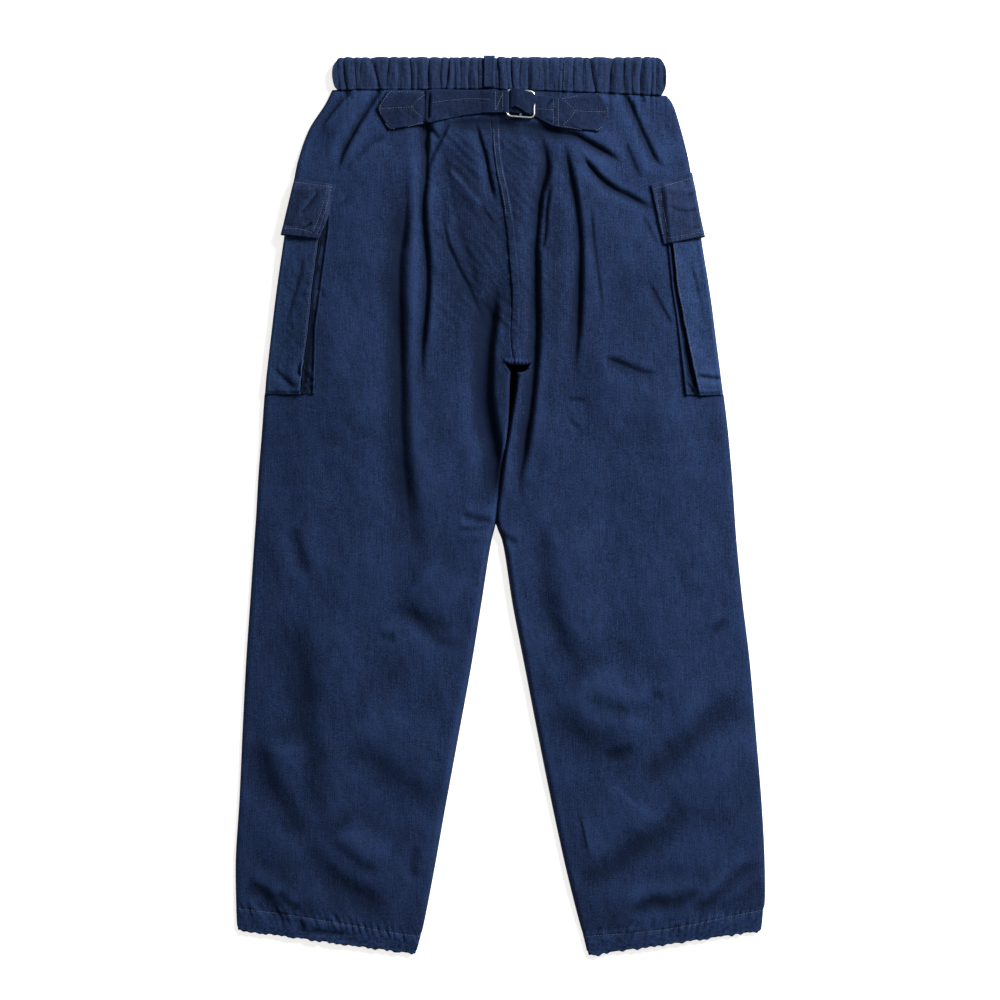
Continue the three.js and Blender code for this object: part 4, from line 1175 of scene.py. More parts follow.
class LegLay:
    """How one leg lies: its outline and the height of its back panel.

    Heights are of the cloth's middle surface.
    """

    # Heights of the gathers below the waistband, of the creases between them and of the drag lines
    PLEAT = 3.0
    DRAWN = 1.1
    DRAG = 0.55

    # Rolled edges of the mouth at the crotch
    RIM_HEIGHT = 2.8
    RIM_WIDTH = 2.6
    LIP_HEIGHT = 1.4
    LIP_WIDTH = 2.2
    PUCKER = 0.9

    def __init__(self, side: Side, gathers: Gathers) -> None:
        """Draws the leg's outline and collects what shapes its cloth.

        Args:
            side: Side of the picture that the leg lies on.
            gathers: Gathers of the waistband above it.
        """
        self.side = side
        self.outward = side.value
        self.gathers = gathers
        own, other = LEG_EDGES[side], LEG_EDGES[side.other]
        self.side_line = spline([(row.side_x, row.side_y) for row in own], 24)
        self.inner_line = spline([(row.inner_x, row.inner_y) for row in own], 24)
        self.other_inner_line = spline([(row.inner_x, row.inner_y) for row in other], 24)
        legs = {Side.LEFT: LEFT_LEG_FOLDS, Side.RIGHT: RIGHT_LEG_FOLDS}
        bank = 1.1 if side is Side.RIGHT else 0.0
        seams = [
            Seam(HEM_LINES[side], 0.8, 1.9, 8, 8, -0.5 * side.value),
            Seam(CENTRE_SEAM, 0.4, 0.6, 6.0, 8, 0.35, bank, 8.5, False),
        ]
        self.relief = Relief(HIP_FOLDS + CROTCH_FOLDS + legs[side], tuple(seams), 3)
        self.crumple = Crumple(1.6, 0.4, 0.15, 11 + 7 * side.value)

    def rows(self, count: int) -> tuple[Array, Array, Array]:
        """Even rows down the leg.

        Args:
            count: Number of rows.

        Returns:
            Places of the side edge, the inner edge and the other leg's inner edge.
        """
        lines = (self.side_line, self.inner_line, self.other_inner_line)
        steps = sum(np.hypot(*np.diff(line, axis=0).T) for line in lines[:2])
        middle_y = (self.inner_line[1:, 1] + self.inner_line[:-1, 1]) / 2
        fine = 1.5 * (np.abs(middle_y - CROTCH_Y) < 14) + 0.9 * (middle_y < -455) + 0.35 * (middle_y > 100)
        steps = steps * (1 + fine)
        travelled = np.concatenate([[0], np.cumsum(steps)])
        places = np.linspace(0, travelled[-1], count)
        return tuple(
            np.stack([np.interp(places, travelled, line[:, k]) for k in (0, 1)], axis=1) for line in lines
        )

    @staticmethod
    def span(rows: list[PocketRow] | list[EdgeRow]) -> tuple[float, float]:
        """Lowest and highest place of a pocket or a flap."""
        if isinstance(rows[0], PocketRow):
            return rows[-1].y, rows[0].y
        return rows[-1].inner_y, rows[0].side_y

    @staticmethod
    def near(span: tuple[float, float], place: Array, margin: float, ramp: float) -> Array:
        """Tells how near places are to a span.

        Args:
            span: Lowest and highest place of the span.
            place: The places.
            margin: Distance past the span's ends where the ramp starts.
            ramp: Length of the ramp.

        Returns:
            1 inside the span, falling to 0 over the ramp.
        """
        past = np.maximum(np.maximum(span[0] - place, place - span[1]), 0)
        return np.clip(1 - (past - margin) / ramp, 0, 1)

    def side_x(self, y: Array) -> Array:
        """Side edge at a height."""
        return np.interp(-y, -self.side_line[:, 1], self.side_line[:, 0])

    def inner_x(self, y: Array) -> Array:
        """Inner edge at a height."""
        return np.interp(-y, -self.inner_line[:, 1], self.inner_line[:, 0])

    def inset(self, y: Array) -> Array:
        """How far the pocket and flap in the side fold push the panel's edge in."""
        pocket, flap = POCKET_ROWS[self.side], FLAP_ROWS[self.side]
        pocket_span = (pocket[-1].y + 5, pocket[0].y)
        flap_span = (flap[-1].side_y + 5, flap[0].side_y - 5)
        return WRAP_CLEARANCE * (self.near(pocket_span, y, 0, 4) + self.near(flap_span, y, 0, 4))

    def lift(self, from_side: Array, y: Array) -> Array:
        """Works out how far the layers of pocket and flap on the floor lift the cloth.

        Args:
            from_side: Distances from the side edge.
            y: Places up.

        Returns:
            The lifts.
        """
        total = 0.0
        for rows, reach in (
            (POCKET_ROWS[self.side], POCKET_FRONT_REACH), (FLAP_ROWS[self.side], FLAP_FRONT_REACH),
        ):
            up = self.near(self.span(rows), y, LIFT_MARGIN, LIFT_RAMP)
            total = total + (LAYER + 0.25) * up * self.near((0, reach), from_side, LIFT_MARGIN, LIFT_RAMP)
        return total

    def height(self, x: Array, y: Array, fine: bool = True) -> Array:
        """Height of the back panel's middle surface.

        Args:
            x: Places across.
            y: Places up.
            fine: Whether sewn lines and wrinkles count.

        Returns:
            The heights.
        """
        shape = x.shape
        x, y = x.reshape(-1), y.reshape(-1)
        from_side = self.outward * (self.side_x(y) - x) - self.inset(y)
        from_inner = self.outward * (x - self.inner_x(y))
        on_side = np.clip(from_side / EDGE_ROLL, 0, 1)
        on_inner = np.clip(from_inner / mix(EDGE_ROLL, INNER_ROLL, ease((y + 30) / 60)), 0, 1)
        inner_roll = ease((INNER_ROLL_START_Y - y) / (INNER_ROLL_START_Y - INNER_ROLL_FULL_Y))
        roll = np.sqrt(1 - (1 - on_side) ** 2) * mix(1, np.sqrt(1 - (1 - on_inner) ** 2), inner_roll)
        flat = mix(SIDE_LOFT, 1, ease(from_side / SIDE_FLATNESS))
        loft = np.interp(y, [row.y for row in LOFT], [row.rise for row in LOFT])
        sway_x = x + 1.1 * Noise(21).at(x / 40, y / 55)
        sway_y = y + 1.1 * Noise(22).at(x / 50, y / 40)
        deep = mix(1.4, 1.0, ease((y + 90) / 220))
        plain = loft * flat + 0.5
        folded = deep * self.relief.fold_height(sway_x, sway_y)
        rise = np.where(folded < 0, plain * np.exp(np.minimum(folded, 0) / plain), plain + folded)
        from_waist = waist_y(x) - y
        waist_roll = 0.1 + 0.9 * np.sqrt(1 - (1 - np.clip(from_waist / 10, 0, 1)) ** 2)
        if fine:
            rise = rise + self._wrinkles(x, y, from_side, np.clip(from_waist, 0, None))
        soft = 0.5 * (rise + np.sqrt(rise * rise + 0.5))
        if fine:
            soft = self._open_crotch(x, y, soft)
        total = self.lift(from_side, y) + CLOTH * 1.5 + SEAM_GAP + LEAST_LOFT + roll * waist_roll * soft
        if fine:
            total = total + (0.3 + 0.7 * roll) * self.relief.seam_height(x, y)
        return total.reshape(shape)

    def _wrinkles(self, x: Array, y: Array, from_side: Array, from_waist: Array) -> Array:
        """Works out the gathers below the waistband, the wrinkles and the drag lines over the seat.

        Args:
            x: Places across.
            y: Places up.
            from_side: Distances from the side edge.
            from_waist: Distances from the waistband, 0 or more.

        Returns:
            The height that they add.
        """
        pleat = self.PLEAT * (self.gathers.rise(x, np.zeros(x.shape)) - 0.55) * np.exp(-from_waist / 13)
        drawn = self.DRAWN * Noise(64).at(x / 5, y / 9) * np.exp(-from_waist / 7)
        calm = 0.35 + 0.65 * ease(from_side / 40)
        seat = np.exp(-((x + 12) / 80) ** 4) * ease((y - 150) / 60) * ease((430 - y) / 30)
        drag = self.DRAG * seat * Noise(88).crumple((x + y) / 13, (x - y) / 60)
        return pleat + drawn + calm * self.crumple.height(x, y) + drag

    @staticmethod
    def _past_mouth(x: Array, y: Array) -> tuple[Array, Array]:
        """Distances over the upper edge and under the lower edge of the mouth at the crotch."""
        bow = np.minimum(((x - CROTCH_X) / CROTCH_HALF) ** 4, 4)
        return y - (CROTCH_Y + CROTCH_TOP_BOW * bow), CROTCH_Y - CROTCH_OPEN + CROTCH_LOW_BOW * bow - y

    @staticmethod
    def in_mouth(x: Array, y: Array) -> Array:
        """1 inside the mouth at the crotch, 0 outside."""
        over, under = LegLay._past_mouth(x, y)
        return ease(0.5 - over) * ease(0.5 - under) * (np.abs(x - CROTCH_X) < 1.1 * CROTCH_HALF)

    def _open_crotch(self, x: Array, y: Array, rise: Array) -> Array:
        """Opens the mouth at the crotch, with a rolled rim above and below it.

        Args:
            x: Places across.
            y: Places up.
            rise: Height of the cloth over the front.

        Returns:
            The height with the mouth in it.
        """
        over, under = self._past_mouth(x, y)
        near = ease((1.35 - np.abs(x - CROTCH_X) / CROTCH_HALF) / 0.4)
        rim = self.RIM_HEIGHT * np.exp(-((over - self.RIM_WIDTH) / self.RIM_WIDTH) ** 2)
        fan = np.sin(1.55 * x + 0.04 * over * (x - CROTCH_X))
        pucker = self.PUCKER * fan * np.exp(-np.abs(over - 3) / 5)
        lip = self.LIP_HEIGHT * np.exp(-((under - self.LIP_WIDTH) / self.LIP_WIDTH) ** 2)
        rolled = (rim + pucker) * (over > 0) + lip * (under > 0)
        return (rise + near * rolled) * (1 - self.in_mouth(x, y))

    def resting(self, x: Array, y: Array, reach: float) -> Array:
        """Finds the highest point of the panel near some places.

        Args:
            x: Places across.
            y: Places up.
            reach: Distance each way that counts.

        Returns:
            The heights.
        """
        offsets = [(dx, dy) for dx in (-reach, 0, reach) for dy in (-reach, 0, reach)]
        return np.max([self.height(x + dx, y + dy, False) for dx, dy in offsets], axis=0)


@dataclass
class LegPanels:
    """Front and back panel of one leg.

    Attributes:
        lay: How the leg lies.
        columns: Grid steps across the back panel.
        row_count: Rows down the back panel.
        front_columns: Grid steps across the front panel.
        front_rows: Rows down the front panel.
        back_cut: Flat size of the back panel; not used.
        front_cut: Flat size of the front panel; not used.
    """

    # Painted shade on cloth that lies in shadow, depth of a fold whose floor gets full painted shade, and the
    # hem's depth
    SHADED: ClassVar[float] = 2.8
    FULL_FOLD: ClassVar[float] = 6.0
    HEM_DEPTH: ClassVar[float] = 20.0

    lay: LegLay
    columns: int = 190
    row_count: int = 430
    front_columns: int = 40
    front_rows: int = 130
    back_cut: Cut = Cut(0.30, 0.98, 0.232)
    front_cut: Cut = Cut(0.30, 0.98, 0.232)

    def build(self) -> list[bpy.types.Object]:
        """Builds and dresses both panels.

        Returns:
            The back panel and the front panel.
        """
        label = self.lay.side.label
        # The front panel is darkened all over with painted shade, as it shows only in shadow under the back
        front = ClothWall(f"cloth_front_{label}").build(*self._front(), self.SHADED)
        dress(front, PANEL_CLOTH, [f"front_{label}"])
        middle, thickness = self._back()
        wall = ClothWall(f"cloth_back_{label}", coarse=4, ridge_span=44, ridge_height=1.8)
        back = wall.build(middle, thickness, self._shade_and_wear(middle[..., 0], middle[..., 1]))
        dress(back, PANEL_CLOTH, [f"back_{label}"])
        return [back, front]

    def _shade_and_wear(self, x: Array, y: Array) -> Array:
        """Works out where the back panel is drawn darker: painted shade at the slit, on fold floors and in
        the mouth, and darker over the seat and hip.

        Args:
            x: Places across, by row and column.
            y: Places up, by row and column.

        Returns:
            How much darker it is drawn; below 0 at the frayed hem, which is more worn.
        """
        hip = ease((y - 60) / 160)
        seat = np.exp(-((x + 8) / 95) ** 4)
        slit = np.exp(-((x - 13) / 20) ** 4) * ease((y - 10) / 60) * ease((170 - y) / 20)
        folds = self.lay.relief.fold_height(x.reshape(-1), y.reshape(-1)).reshape(x.shape)
        fold_floor_shade = np.clip(-folds / self.FULL_FOLD, 0, 1)
        # Painted shade at the slit and on fold floors; the seat and hip are only drawn darker
        darker = (0.4 * seat + 0.1 * ease((x - 20) / 60)) * hip + 0.5 * slit + 0.7 * fold_floor_shade
        from_hem = y - y[-1:, :]
        frayed = 0.25 + 1.5 * Noise(81).at(x / 4.2, y / 3)
        hem = frayed * (0.35 * (from_hem < self.HEM_DEPTH) + 0.9 * np.exp(-from_hem / 3))
        # Painted shade fills the mouth at the crotch; the frayed hem is lighter
        return darker + self.SHADED * self.lay.in_mouth(x, y) - hem

    def _thickness(self, side_y: Array) -> Array:
        """Thickness of each row: double at the hem."""
        return mix(CLOTH, HEM_CLOTH, ease((-441 - side_y) / 3))

    def _back(self) -> tuple[Array, Array]:
        """Works out the back panel.

        Returns:
            Its middle grid and its thickness by row.
        """
        side, inner, _ = self.lay.rows(self.row_count)
        even = np.linspace(0, 1, self.columns + 1)
        share = mix(even, (1 - np.cos(np.pi * even)) / 2, 0.35)
        side = side.copy()
        side[:, 0] -= self.lay.outward * self.lay.inset(side[:, 1])
        across = mix(side[:, None, :], inner[:, None, :], share[None, :, None])
        tail = ease((np.arange(self.row_count) - self.row_count + 5) / 4)[:, None]
        rope = Noise(31).at(across[..., 0] / 7, across[..., 1] / 60)
        corner = ease((5 - np.abs(across[..., 0] - across[:, :1, 0])) / 5)
        corner = corner + ease((5 - np.abs(across[..., 0] - across[:, -1:, 0])) / 5)
        y = across[..., 1] + tail * (3.2 * rope + 3 * corner)
        z = self.lay.height(across[..., 0], y)
        return np.dstack([across[..., 0], y, z]), self._thickness(side[:, 1])

    def _front(self) -> tuple[Array, Array]:
        """Works out the front panel, flat on the floor.

        Returns:
            Its middle grid and its thickness by row.
        """
        side, inner, other = self.lay.rows(self.front_rows)
        side = side.copy()
        side[:, 0] -= self.lay.outward * self.lay.inset(side[:, 1])
        left_inner = inner[:, 0] if self.lay.side is Side.LEFT else other[:, 0]
        hidden = left_inner - FRONT_SEAM_INSET + self.lay.outward * SEAM_GAP / 2
        apart = np.abs(inner[:, 0] - other[:, 0])
        touching = ease((LEGS_APART - apart) / 3) * ease((inner[:, 1] + 23) / 6)
        inner = np.stack([mix(inner[:, 0], hidden, touching), inner[:, 1]], axis=1)
        share = np.linspace(0, 1, self.front_columns + 1)
        across = mix(side[:, None, :], inner[:, None, :], share[None, :, None])
        thickness = self._thickness(side[:, 1])
        from_side = np.abs(across[..., 0] - side[:, None, 0])
        z = thickness[:, None] / 2 + self.lay.lift(from_side, across[..., 1])
        return np.dstack([across[..., 0], across[..., 1], z]), thickness


@dataclass
class Waistband:
    """Elastic casing: a gathered back half on a plain front half.

    Attributes:
        gathers: The gathers of the back half.
        columns: Grid steps across.
        row_count: Rows up the band.
        seams: Sewn lines on the back half.
        cut: Flat size of each half, before the elastic drew it in; not used.
    """

    # Depth of the round corners, their share of the height, and how close to the ends they stay
    TOP_CORNER: ClassVar[float] = 8.0
    TOP_CORNER_SHARE: ClassVar[float] = 0.32
    LOW_CORNER: ClassVar[float] = 4.0
    LOW_CORNER_SHARE: ClassVar[float] = 0.2
    CORNER_POWER: ClassVar[int] = 41

    gathers: Gathers
    columns: int = 560
    row_count: int = 34
    seams: tuple[Seam, ...] = (
        Seam(((70, 457), (70.4, 490)), 0.45, 0.15, 6, 3),
        Seam(((-181, 459.5), (-100, 460.3), (-11, 460.8), (80, 458), (180, 453.6)),
             0.3, 0.2, 5, 3, stitched=False),
    )
    cut: Cut = Cut(0.41, 0.036, 0.0145)

    def place(self, across: Array, up: Array) -> tuple[Array, Array]:
        """Works out places on the band, which bulges at its ends and is round at its corners.

        Args:
            across: Shares across.
            up: Shares up.

        Returns:
            The places across and up.
        """
        from_middle = 2 * across - 1
        bulge = WAIST_END_BULGE * (np.sin(np.pi * up) - 1) * from_middle
        top = (1 - up) / self.TOP_CORNER_SHARE
        low = up / self.LOW_CORNER_SHARE
        corner = sum(
            depth * (1 - np.sqrt(1 - (1 - np.clip(share, 0, 1)) ** 2))
            for depth, share in ((self.TOP_CORNER, top), (self.LOW_CORNER, low))
        )
        x = mix(WAIST_LEFT[0], WAIST_RIGHT[0], across) + bulge - corner * from_middle ** self.CORNER_POWER
        return x, mix(waist_y(x), WAIST_TOP_Y, up)

    def build(self) -> list[bpy.types.Object]:
        """Builds and dresses both halves.

        Returns:
            The back half and the front half.
        """
        across, up = np.meshgrid(np.linspace(0, 1, 61), np.linspace(0, 1, 7))
        x, y = self.place(across, up)
        wall = ClothWall("cloth_waistband_front", BAND_CLOTH)
        front = wall.build(np.dstack([x, y, np.full(x.shape, BAND_CLOTH / 2)]))
        dress(front, TRIM_CLOTH, ["waistband_front"])
        across, up = np.meshgrid(np.linspace(0, 1, self.columns + 1), np.linspace(0, 1, self.row_count))
        x, y = self.place(across, up)
        gather = self.gathers.rise(x, up)
        y = y + (gather - 0.55) * mix(-2.2, 1.8, up) * np.abs(2 * up - 1) ** 2
        z = self.height(x, up) + self._detail(x, y)
        wall = ClothWall("cloth_waistband_back", BAND_CLOTH, ridge_span=5, ridge_height=0.5)
        back = wall.build(np.dstack([x, y, z]))
        dress(back, TRIM_CLOTH, ["waistband_back"])
        return [back, front]

    def height(self, x: Array, up: Array) -> Array:
        """Works out the height of the back half's middle surface.

        Args:
            x: Places across.
            up: Shares up the band.

        Returns:
            The heights.
        """
        edge = np.clip(np.minimum(up / 0.07, (1 - up) / 0.15), 0, 1)
        roll = np.sqrt(1 - (1 - edge) ** 2)
        pinch = (0.6 + 0.4 * np.sin(np.pi * np.clip(up, 0, 1))) * (0.35 + 0.65 * roll)
        gathered = Gathers.HEIGHT * self.gathers.rise(x, up) * pinch
        return BAND_CLOTH * 1.5 + SEAM_GAP + 1 + gathered + 1.2 * roll

    def _detail(self, x: Array, y: Array) -> Array:
        """Sewn lines and wrinkles of the back half."""
        drawn = 0.55 * Noise(63).at(x / 3.8, y / 21)
        return drawn + fine_form(x, y, Relief(seams=self.seams, seed=9), Crumple(0.4, 0.4, 0.25, 61, 1.0))


@dataclass
class BeltLoop:
    """Loop at the centre of the back, sewn up the band and over its top edge.

    Attributes:
        band: The waistband that carries it.
        left: Left edge.
        right: Right edge.
        low_y: Lower end.
        top_y: Upper end.
        cut: Flat size; not used.
    """

    band: Waistband
    left: float = -17.6
    right: float = -5.5
    low_y: float = 459.5
    top_y: float = 494.0
    cut: Cut = Cut(0.0125, 0.036, 0.00044)

    def build(self) -> bpy.types.Object:
        """Builds and dresses the loop.

        Returns:
            The loop.
        """
        x, y = np.meshgrid(np.linspace(self.left, self.right, 17), np.linspace(self.low_y, self.top_y, 40))
        up = (y - WAIST_CENTRE[1]) / (WAIST_TOP_Y - WAIST_CENTRE[1])
        below = self.band.height(np.linspace(-17, -6, 12), np.full(12, 0.5))
        level = float(below.max()) + BAND_CLOTH / 2 + LAYER
        share = (x - self.left) / (self.right - self.left)
        welt = 0.5 * np.exp(-((np.minimum(share, 1 - share) - 0.13) / 0.09) ** 2)
        wave = 0.25 * Noise(71).at(x / 6, y / 7)
        over_top = ease((y - WAIST_TOP_Y) / (self.top_y - WAIST_TOP_Y))
        drop = 2.6 * over_top + 0.9 * (2 * np.clip(up, 0, 1) - 1) ** 4
        waver = 0.35 * Noise(72).at(y / 9, share * 2)
        made = ClothWall("cloth_belt_loop", CLOTH, ridge_span=2).build(
            np.dstack([x + waver, y, level - drop + welt + wave]))
        dress(made, TRIM_CLOTH, ["belt_loop"])
        return made


class Wrap:
    """Cloth that lies on the back panel, turns round the side edge and lies on the floor."""

    # Grid steps on the back, round the side edge and on the floor
    BACK_STEPS = 44
    ARC_STEPS = 10
    FRONT_STEPS = 14

    def __init__(self, outward: int) -> None:
        """Sets which way the side edge lies."""
        self.outward = outward

    def grid(self, side: Array, inner: Array, top: object, low: Array, front_reach: float) -> Array:
        """Works out the middle grid.

        Args:
            side: Places of the side edge, by row.
            inner: Places of the inner edge, by row.
            top: Height of the cloth that lies on the panel, from arrays of places.
            low: Height of the cloth on the floor, by row.
            front_reach: How far the cloth reaches in from the side edge on the floor.

        Returns:
            The grid, by row and column.
        """
        fold = side[:, 0] - self.outward * CLOTH / 2
        at_edge = top(fold - self.outward * (WRAP_CLEARANCE + 1), side[:, 1])
        radius = (at_edge - low) / 2
        reach = np.minimum(radius, WRAP_TURN)
        turn = fold - self.outward * reach
        share = np.linspace(0, 1, self.BACK_STEPS, endpoint=False)[None, :]
        x = mix(inner[:, :1], turn[:, None], share)
        y = mix(inner[:, 1:], side[:, 1:], share)
        z = top(x, y)
        settle = ease((share - 0.75) / 0.25)
        z = np.maximum(mix(z, at_edge[:, None], settle), mix(z, at_edge[:, None], 0.5))
        angle = np.linspace(0, np.pi, self.ARC_STEPS + 1)[None, :]
        arc_x = turn[:, None] + self.outward * reach[:, None] * np.sin(angle)
        arc_z = (low + radius)[:, None] + radius[:, None] * np.cos(angle)
        arc_y = np.broadcast_to(side[:, 1:], arc_x.shape)
        share = np.linspace(0, 1, self.FRONT_STEPS + 1)[None, 1:]
        front_x = mix(turn[:, None], (side[:, 0] - self.outward * front_reach)[:, None], share)
        front_y = mix(side[:, 1:], inner[:, 1:], share)
        front_z = np.broadcast_to(low[:, None], front_x.shape)
        return np.dstack([
            np.hstack([x, arc_x, front_x]), np.hstack([y, arc_y, front_y]), np.hstack([z, arc_z, front_z]),
        ])


@dataclass
class BellowsPocket:
    """Side pocket with a bellows gusset and a flap.

    Attributes:
        lay: How the leg lies.
        row_count: Rows down the pocket.
        rise: Height of the face's inner edge over its gusset.
        seams: Sewn lines on the face.
        flap_seams: Sewn lines on the flap.
        folds: Creases of the pocket.
        flap_folds: Creases of the flap.
        crushed: Middle of the crumpled cloth.
        face_cut: Flat size of the face; not used.
        gusset_cut: Flat size of the gusset; not used.
        flap_cut: Flat size of the flap; not used.
    """

    # How far the rise of the face reaches in, how far its hem drops, the gusset's welt and trough,
    # and the painted shade on the gusset under the face
    RISE_REACH: ClassVar[float] = 30.0
    HEM_DROP: ClassVar[float] = 1.3
    WELT: ClassVar[float] = 1.3
    TROUGH: ClassVar[float] = 1.6
    SHADED: ClassVar[float] = 2.2

    lay: LegLay
    row_count: int = 150
    rise: float = 4.0
    seams: tuple[Seam, ...] = ()
    flap_seams: tuple[Seam, ...] = ()
    folds: tuple[Fold, ...] = ()
    flap_folds: tuple[Fold, ...] = ()
    crushed: tuple[float, float] = (0.0, 0.0)
    face_cut: Cut = Cut(0.155, 0.225, 0.0345)
    gusset_cut: Cut = Cut(0.016, 0.225, 0.0023)
    flap_cut: Cut = Cut(0.163, 0.075, 0.0098)

    def column(self, name: str, y: Array) -> Array:
        """Edge of the face or the gusset at a height."""
        rows = POCKET_ROWS[self.lay.side][::-1]
        return np.interp(y, [row.y for row in rows], [getattr(row, name) for row in rows])

    def face_height(self, x: Array, y: Array) -> Array:
        """Works out the height of the face's middle surface, which stands up along its inner edge.

        Args:
            x: Places across.
            y: Places up.

        Returns:
            The heights.
        """
        from_edge = np.abs(x - self.column("face", y))
        lifted = self.rise * np.clip(1 - from_edge / self.RISE_REACH, 0, 1) ** 1.3
        low_y = POCKET_ROWS[self.lay.side][-1].y
        hem = self.HEM_DROP * ease((low_y + 3.6 - y) / 0.9)
        lifted = lifted * mix(0.55, 1, ease((y - low_y) / 20)) - hem
        detail = fine_form(x, y, Relief(self.folds, self.seams, 13), Crumple(0.6, 0.45, 0.25, 33, 1.6))
        return self.lay.resting(x, y, 3) + LAYER + 0.3 + lifted + detail + self.crush(x, y)

    def crush(self, x: Array, y: Array) -> Array:
        """Works out how cloth is crumpled at the pocket's lower corner.

        Args:
            x: Places across.
            y: Places up.

        Returns:
            The height that it adds.
        """
        away = ((x - self.crushed[0]) / 11) ** 2 + ((y - self.crushed[1]) / 16) ** 2
        noise = 1.5 * Noise(45).at((x + 0.5 * y) / 5.5, y / 6.5) + 1.2 * Noise(46).crumple(x / 6, (y + x) / 9)
        return noise * np.exp(-away)

    def gusset_height(self, x: Array, y: Array) -> Array:
        """Works out the height of the gusset's middle surface.

        Args:
            x: Places across.
            y: Places up.

        Returns:
            The heights: flat where it is sewn, then a trough, then folded up under the face.
        """
        seam, face = self.column("gusset", y), self.column("face", y)
        share = np.clip((x - seam) / (face - seam), 0, 1)
        from_seam = np.abs(x - seam)
        welt = self.WELT * np.exp(-((from_seam - 1.3) / 1.1) ** 2)
        trough = self.TROUGH * ease(from_seam / 3) * ease((1 - share) / 0.4)
        lie = self.lay.height(x, y, False) + LAYER + 0.8 + welt - trough
        return lie + 0.35 * Noise(41).at(x / 5, y / 11) + self.crush(x, y)

    def build(self) -> list[bpy.types.Object]:
        """Builds and dresses the face, the gusset and the flap.

        Returns:
            The three pieces in this order.
        """
        lay, label, outward = self.lay, self.lay.side.label, self.lay.outward
        low_y, high_y = lay.span(POCKET_ROWS[lay.side])
        y = np.linspace(high_y, low_y, self.row_count)
        under_flap = lay.near((FLAP_ROWS[lay.side][-1].side_y + 5, high_y), y, 0, 4)
        face = self.column("face", y) + 0.5 * Noise(43).at(y / 14, y * 0)
        side = np.stack([lay.side_x(y) - outward * WRAP_CLEARANCE * under_flap, y], axis=1)
        droop = 1.2 * ease((low_y + 14 - y) / 14)
        inner = np.stack([face, y - droop * 0.4], axis=1)
        low = CLOTH / 2 + (LAYER + 0.1) * under_flap
        grid = Wrap(outward).grid(side, inner, self.face_height, low, POCKET_FRONT_REACH)
        made = ClothWall(f"cloth_pocket_{label}", CLOTH, ridge_span=5, ridge_height=0.25).build(grid)
        dress(made, POCKET_CLOTH, [f"pocket_{label}"])
        return [made, self._gusset(y), self._flap()]

    def _gusset(self, y: Array) -> bpy.types.Object:
        """Builds and dresses the gusset.

        Args:
            y: Heights of the pocket's rows.

        Returns:
            The gusset.
        """
        label = self.lay.side.label
        seam = self.column("gusset", y)
        under = self.column("face", y) - self.lay.outward * SEAM_GAP
        share = np.linspace(0, 1, 13)
        x = mix(seam[:, None], under[:, None], share[None, :])
        level = np.broadcast_to(y[:, None], x.shape)
        grid = np.dstack([x, level, self.gusset_height(x, level)])
        # Painted shade: the gusset darkens towards the face's edge, which shades it
        painted_shade_under_face = np.broadcast_to(self.SHADED * ease((share - 0.3) / 0.5), x.shape)
        made = ClothWall(f"cloth_gusset_{label}", CLOTH, ridge_span=2).build(grid, shade_and_wear=painted_shade_under_face)
        dress(made, SHADED_GUSSET_CLOTH, [f"pocket_gusset_{label}"])
        return made

    def _flap(self) -> bpy.types.Object:
        """Builds and dresses the flap.

        Returns:
            The flap.
        """
        lay, label, outward = self.lay, self.lay.side.label, self.lay.outward
        rows = FLAP_ROWS[lay.side]
        travelled = np.linspace(0, len(rows) - 1, 64)
        numbers = np.arange(len(rows))
        side_x, side_y, inner_x, inner_y = (
            np.interp(travelled, numbers, [getattr(row, name) for row in rows])
            for name in ("side_x", "side_y", "inner_x", "inner_y")
        )
        side = np.stack([side_x, side_y], axis=1)
        inner = np.stack([inner_x + 0.5 * Noise(44).at(side_y / 9, side_y * 0), inner_y], axis=1)
        low = np.full(len(travelled), CLOTH / 2)
        grid = Wrap(outward).grid(side, inner, self.flap_height, low, FLAP_FRONT_REACH)
        made = ClothWall(f"cloth_flap_{label}", CLOTH + 0.3, ridge_span=4, ridge_height=0.25).build(grid)
        dress(made, TRIM_CLOTH, [f"pocket_flap_{label}"])
        return made

    def flap_height(self, x: Array, y: Array) -> Array:
        """Works out the height of the flap's middle surface, over the panel and the pocket.

        Args:
            x: Places across.
            y: Places up.

        Returns:
            The heights.
        """
        span = self.lay.span(POCKET_ROWS[self.lay.side])
        shown = self.lay.near(span, y, 2, 9)
        over_face = ease(self.lay.outward * (x - self.column("gusset", y)) / 9 + 0.4)
        stack = (LAYER + 0.7 * self.rise + 0.6) * shown * over_face
        relief = Relief(self.flap_folds, self.flap_seams, 17)
        detail = fine_form(x, y, relief, Crumple(0.3, 0.3, 0.2, 37, 1.0))
        return self.lay.resting(x, y, 5) + LAYER + 0.5 + stack + detail


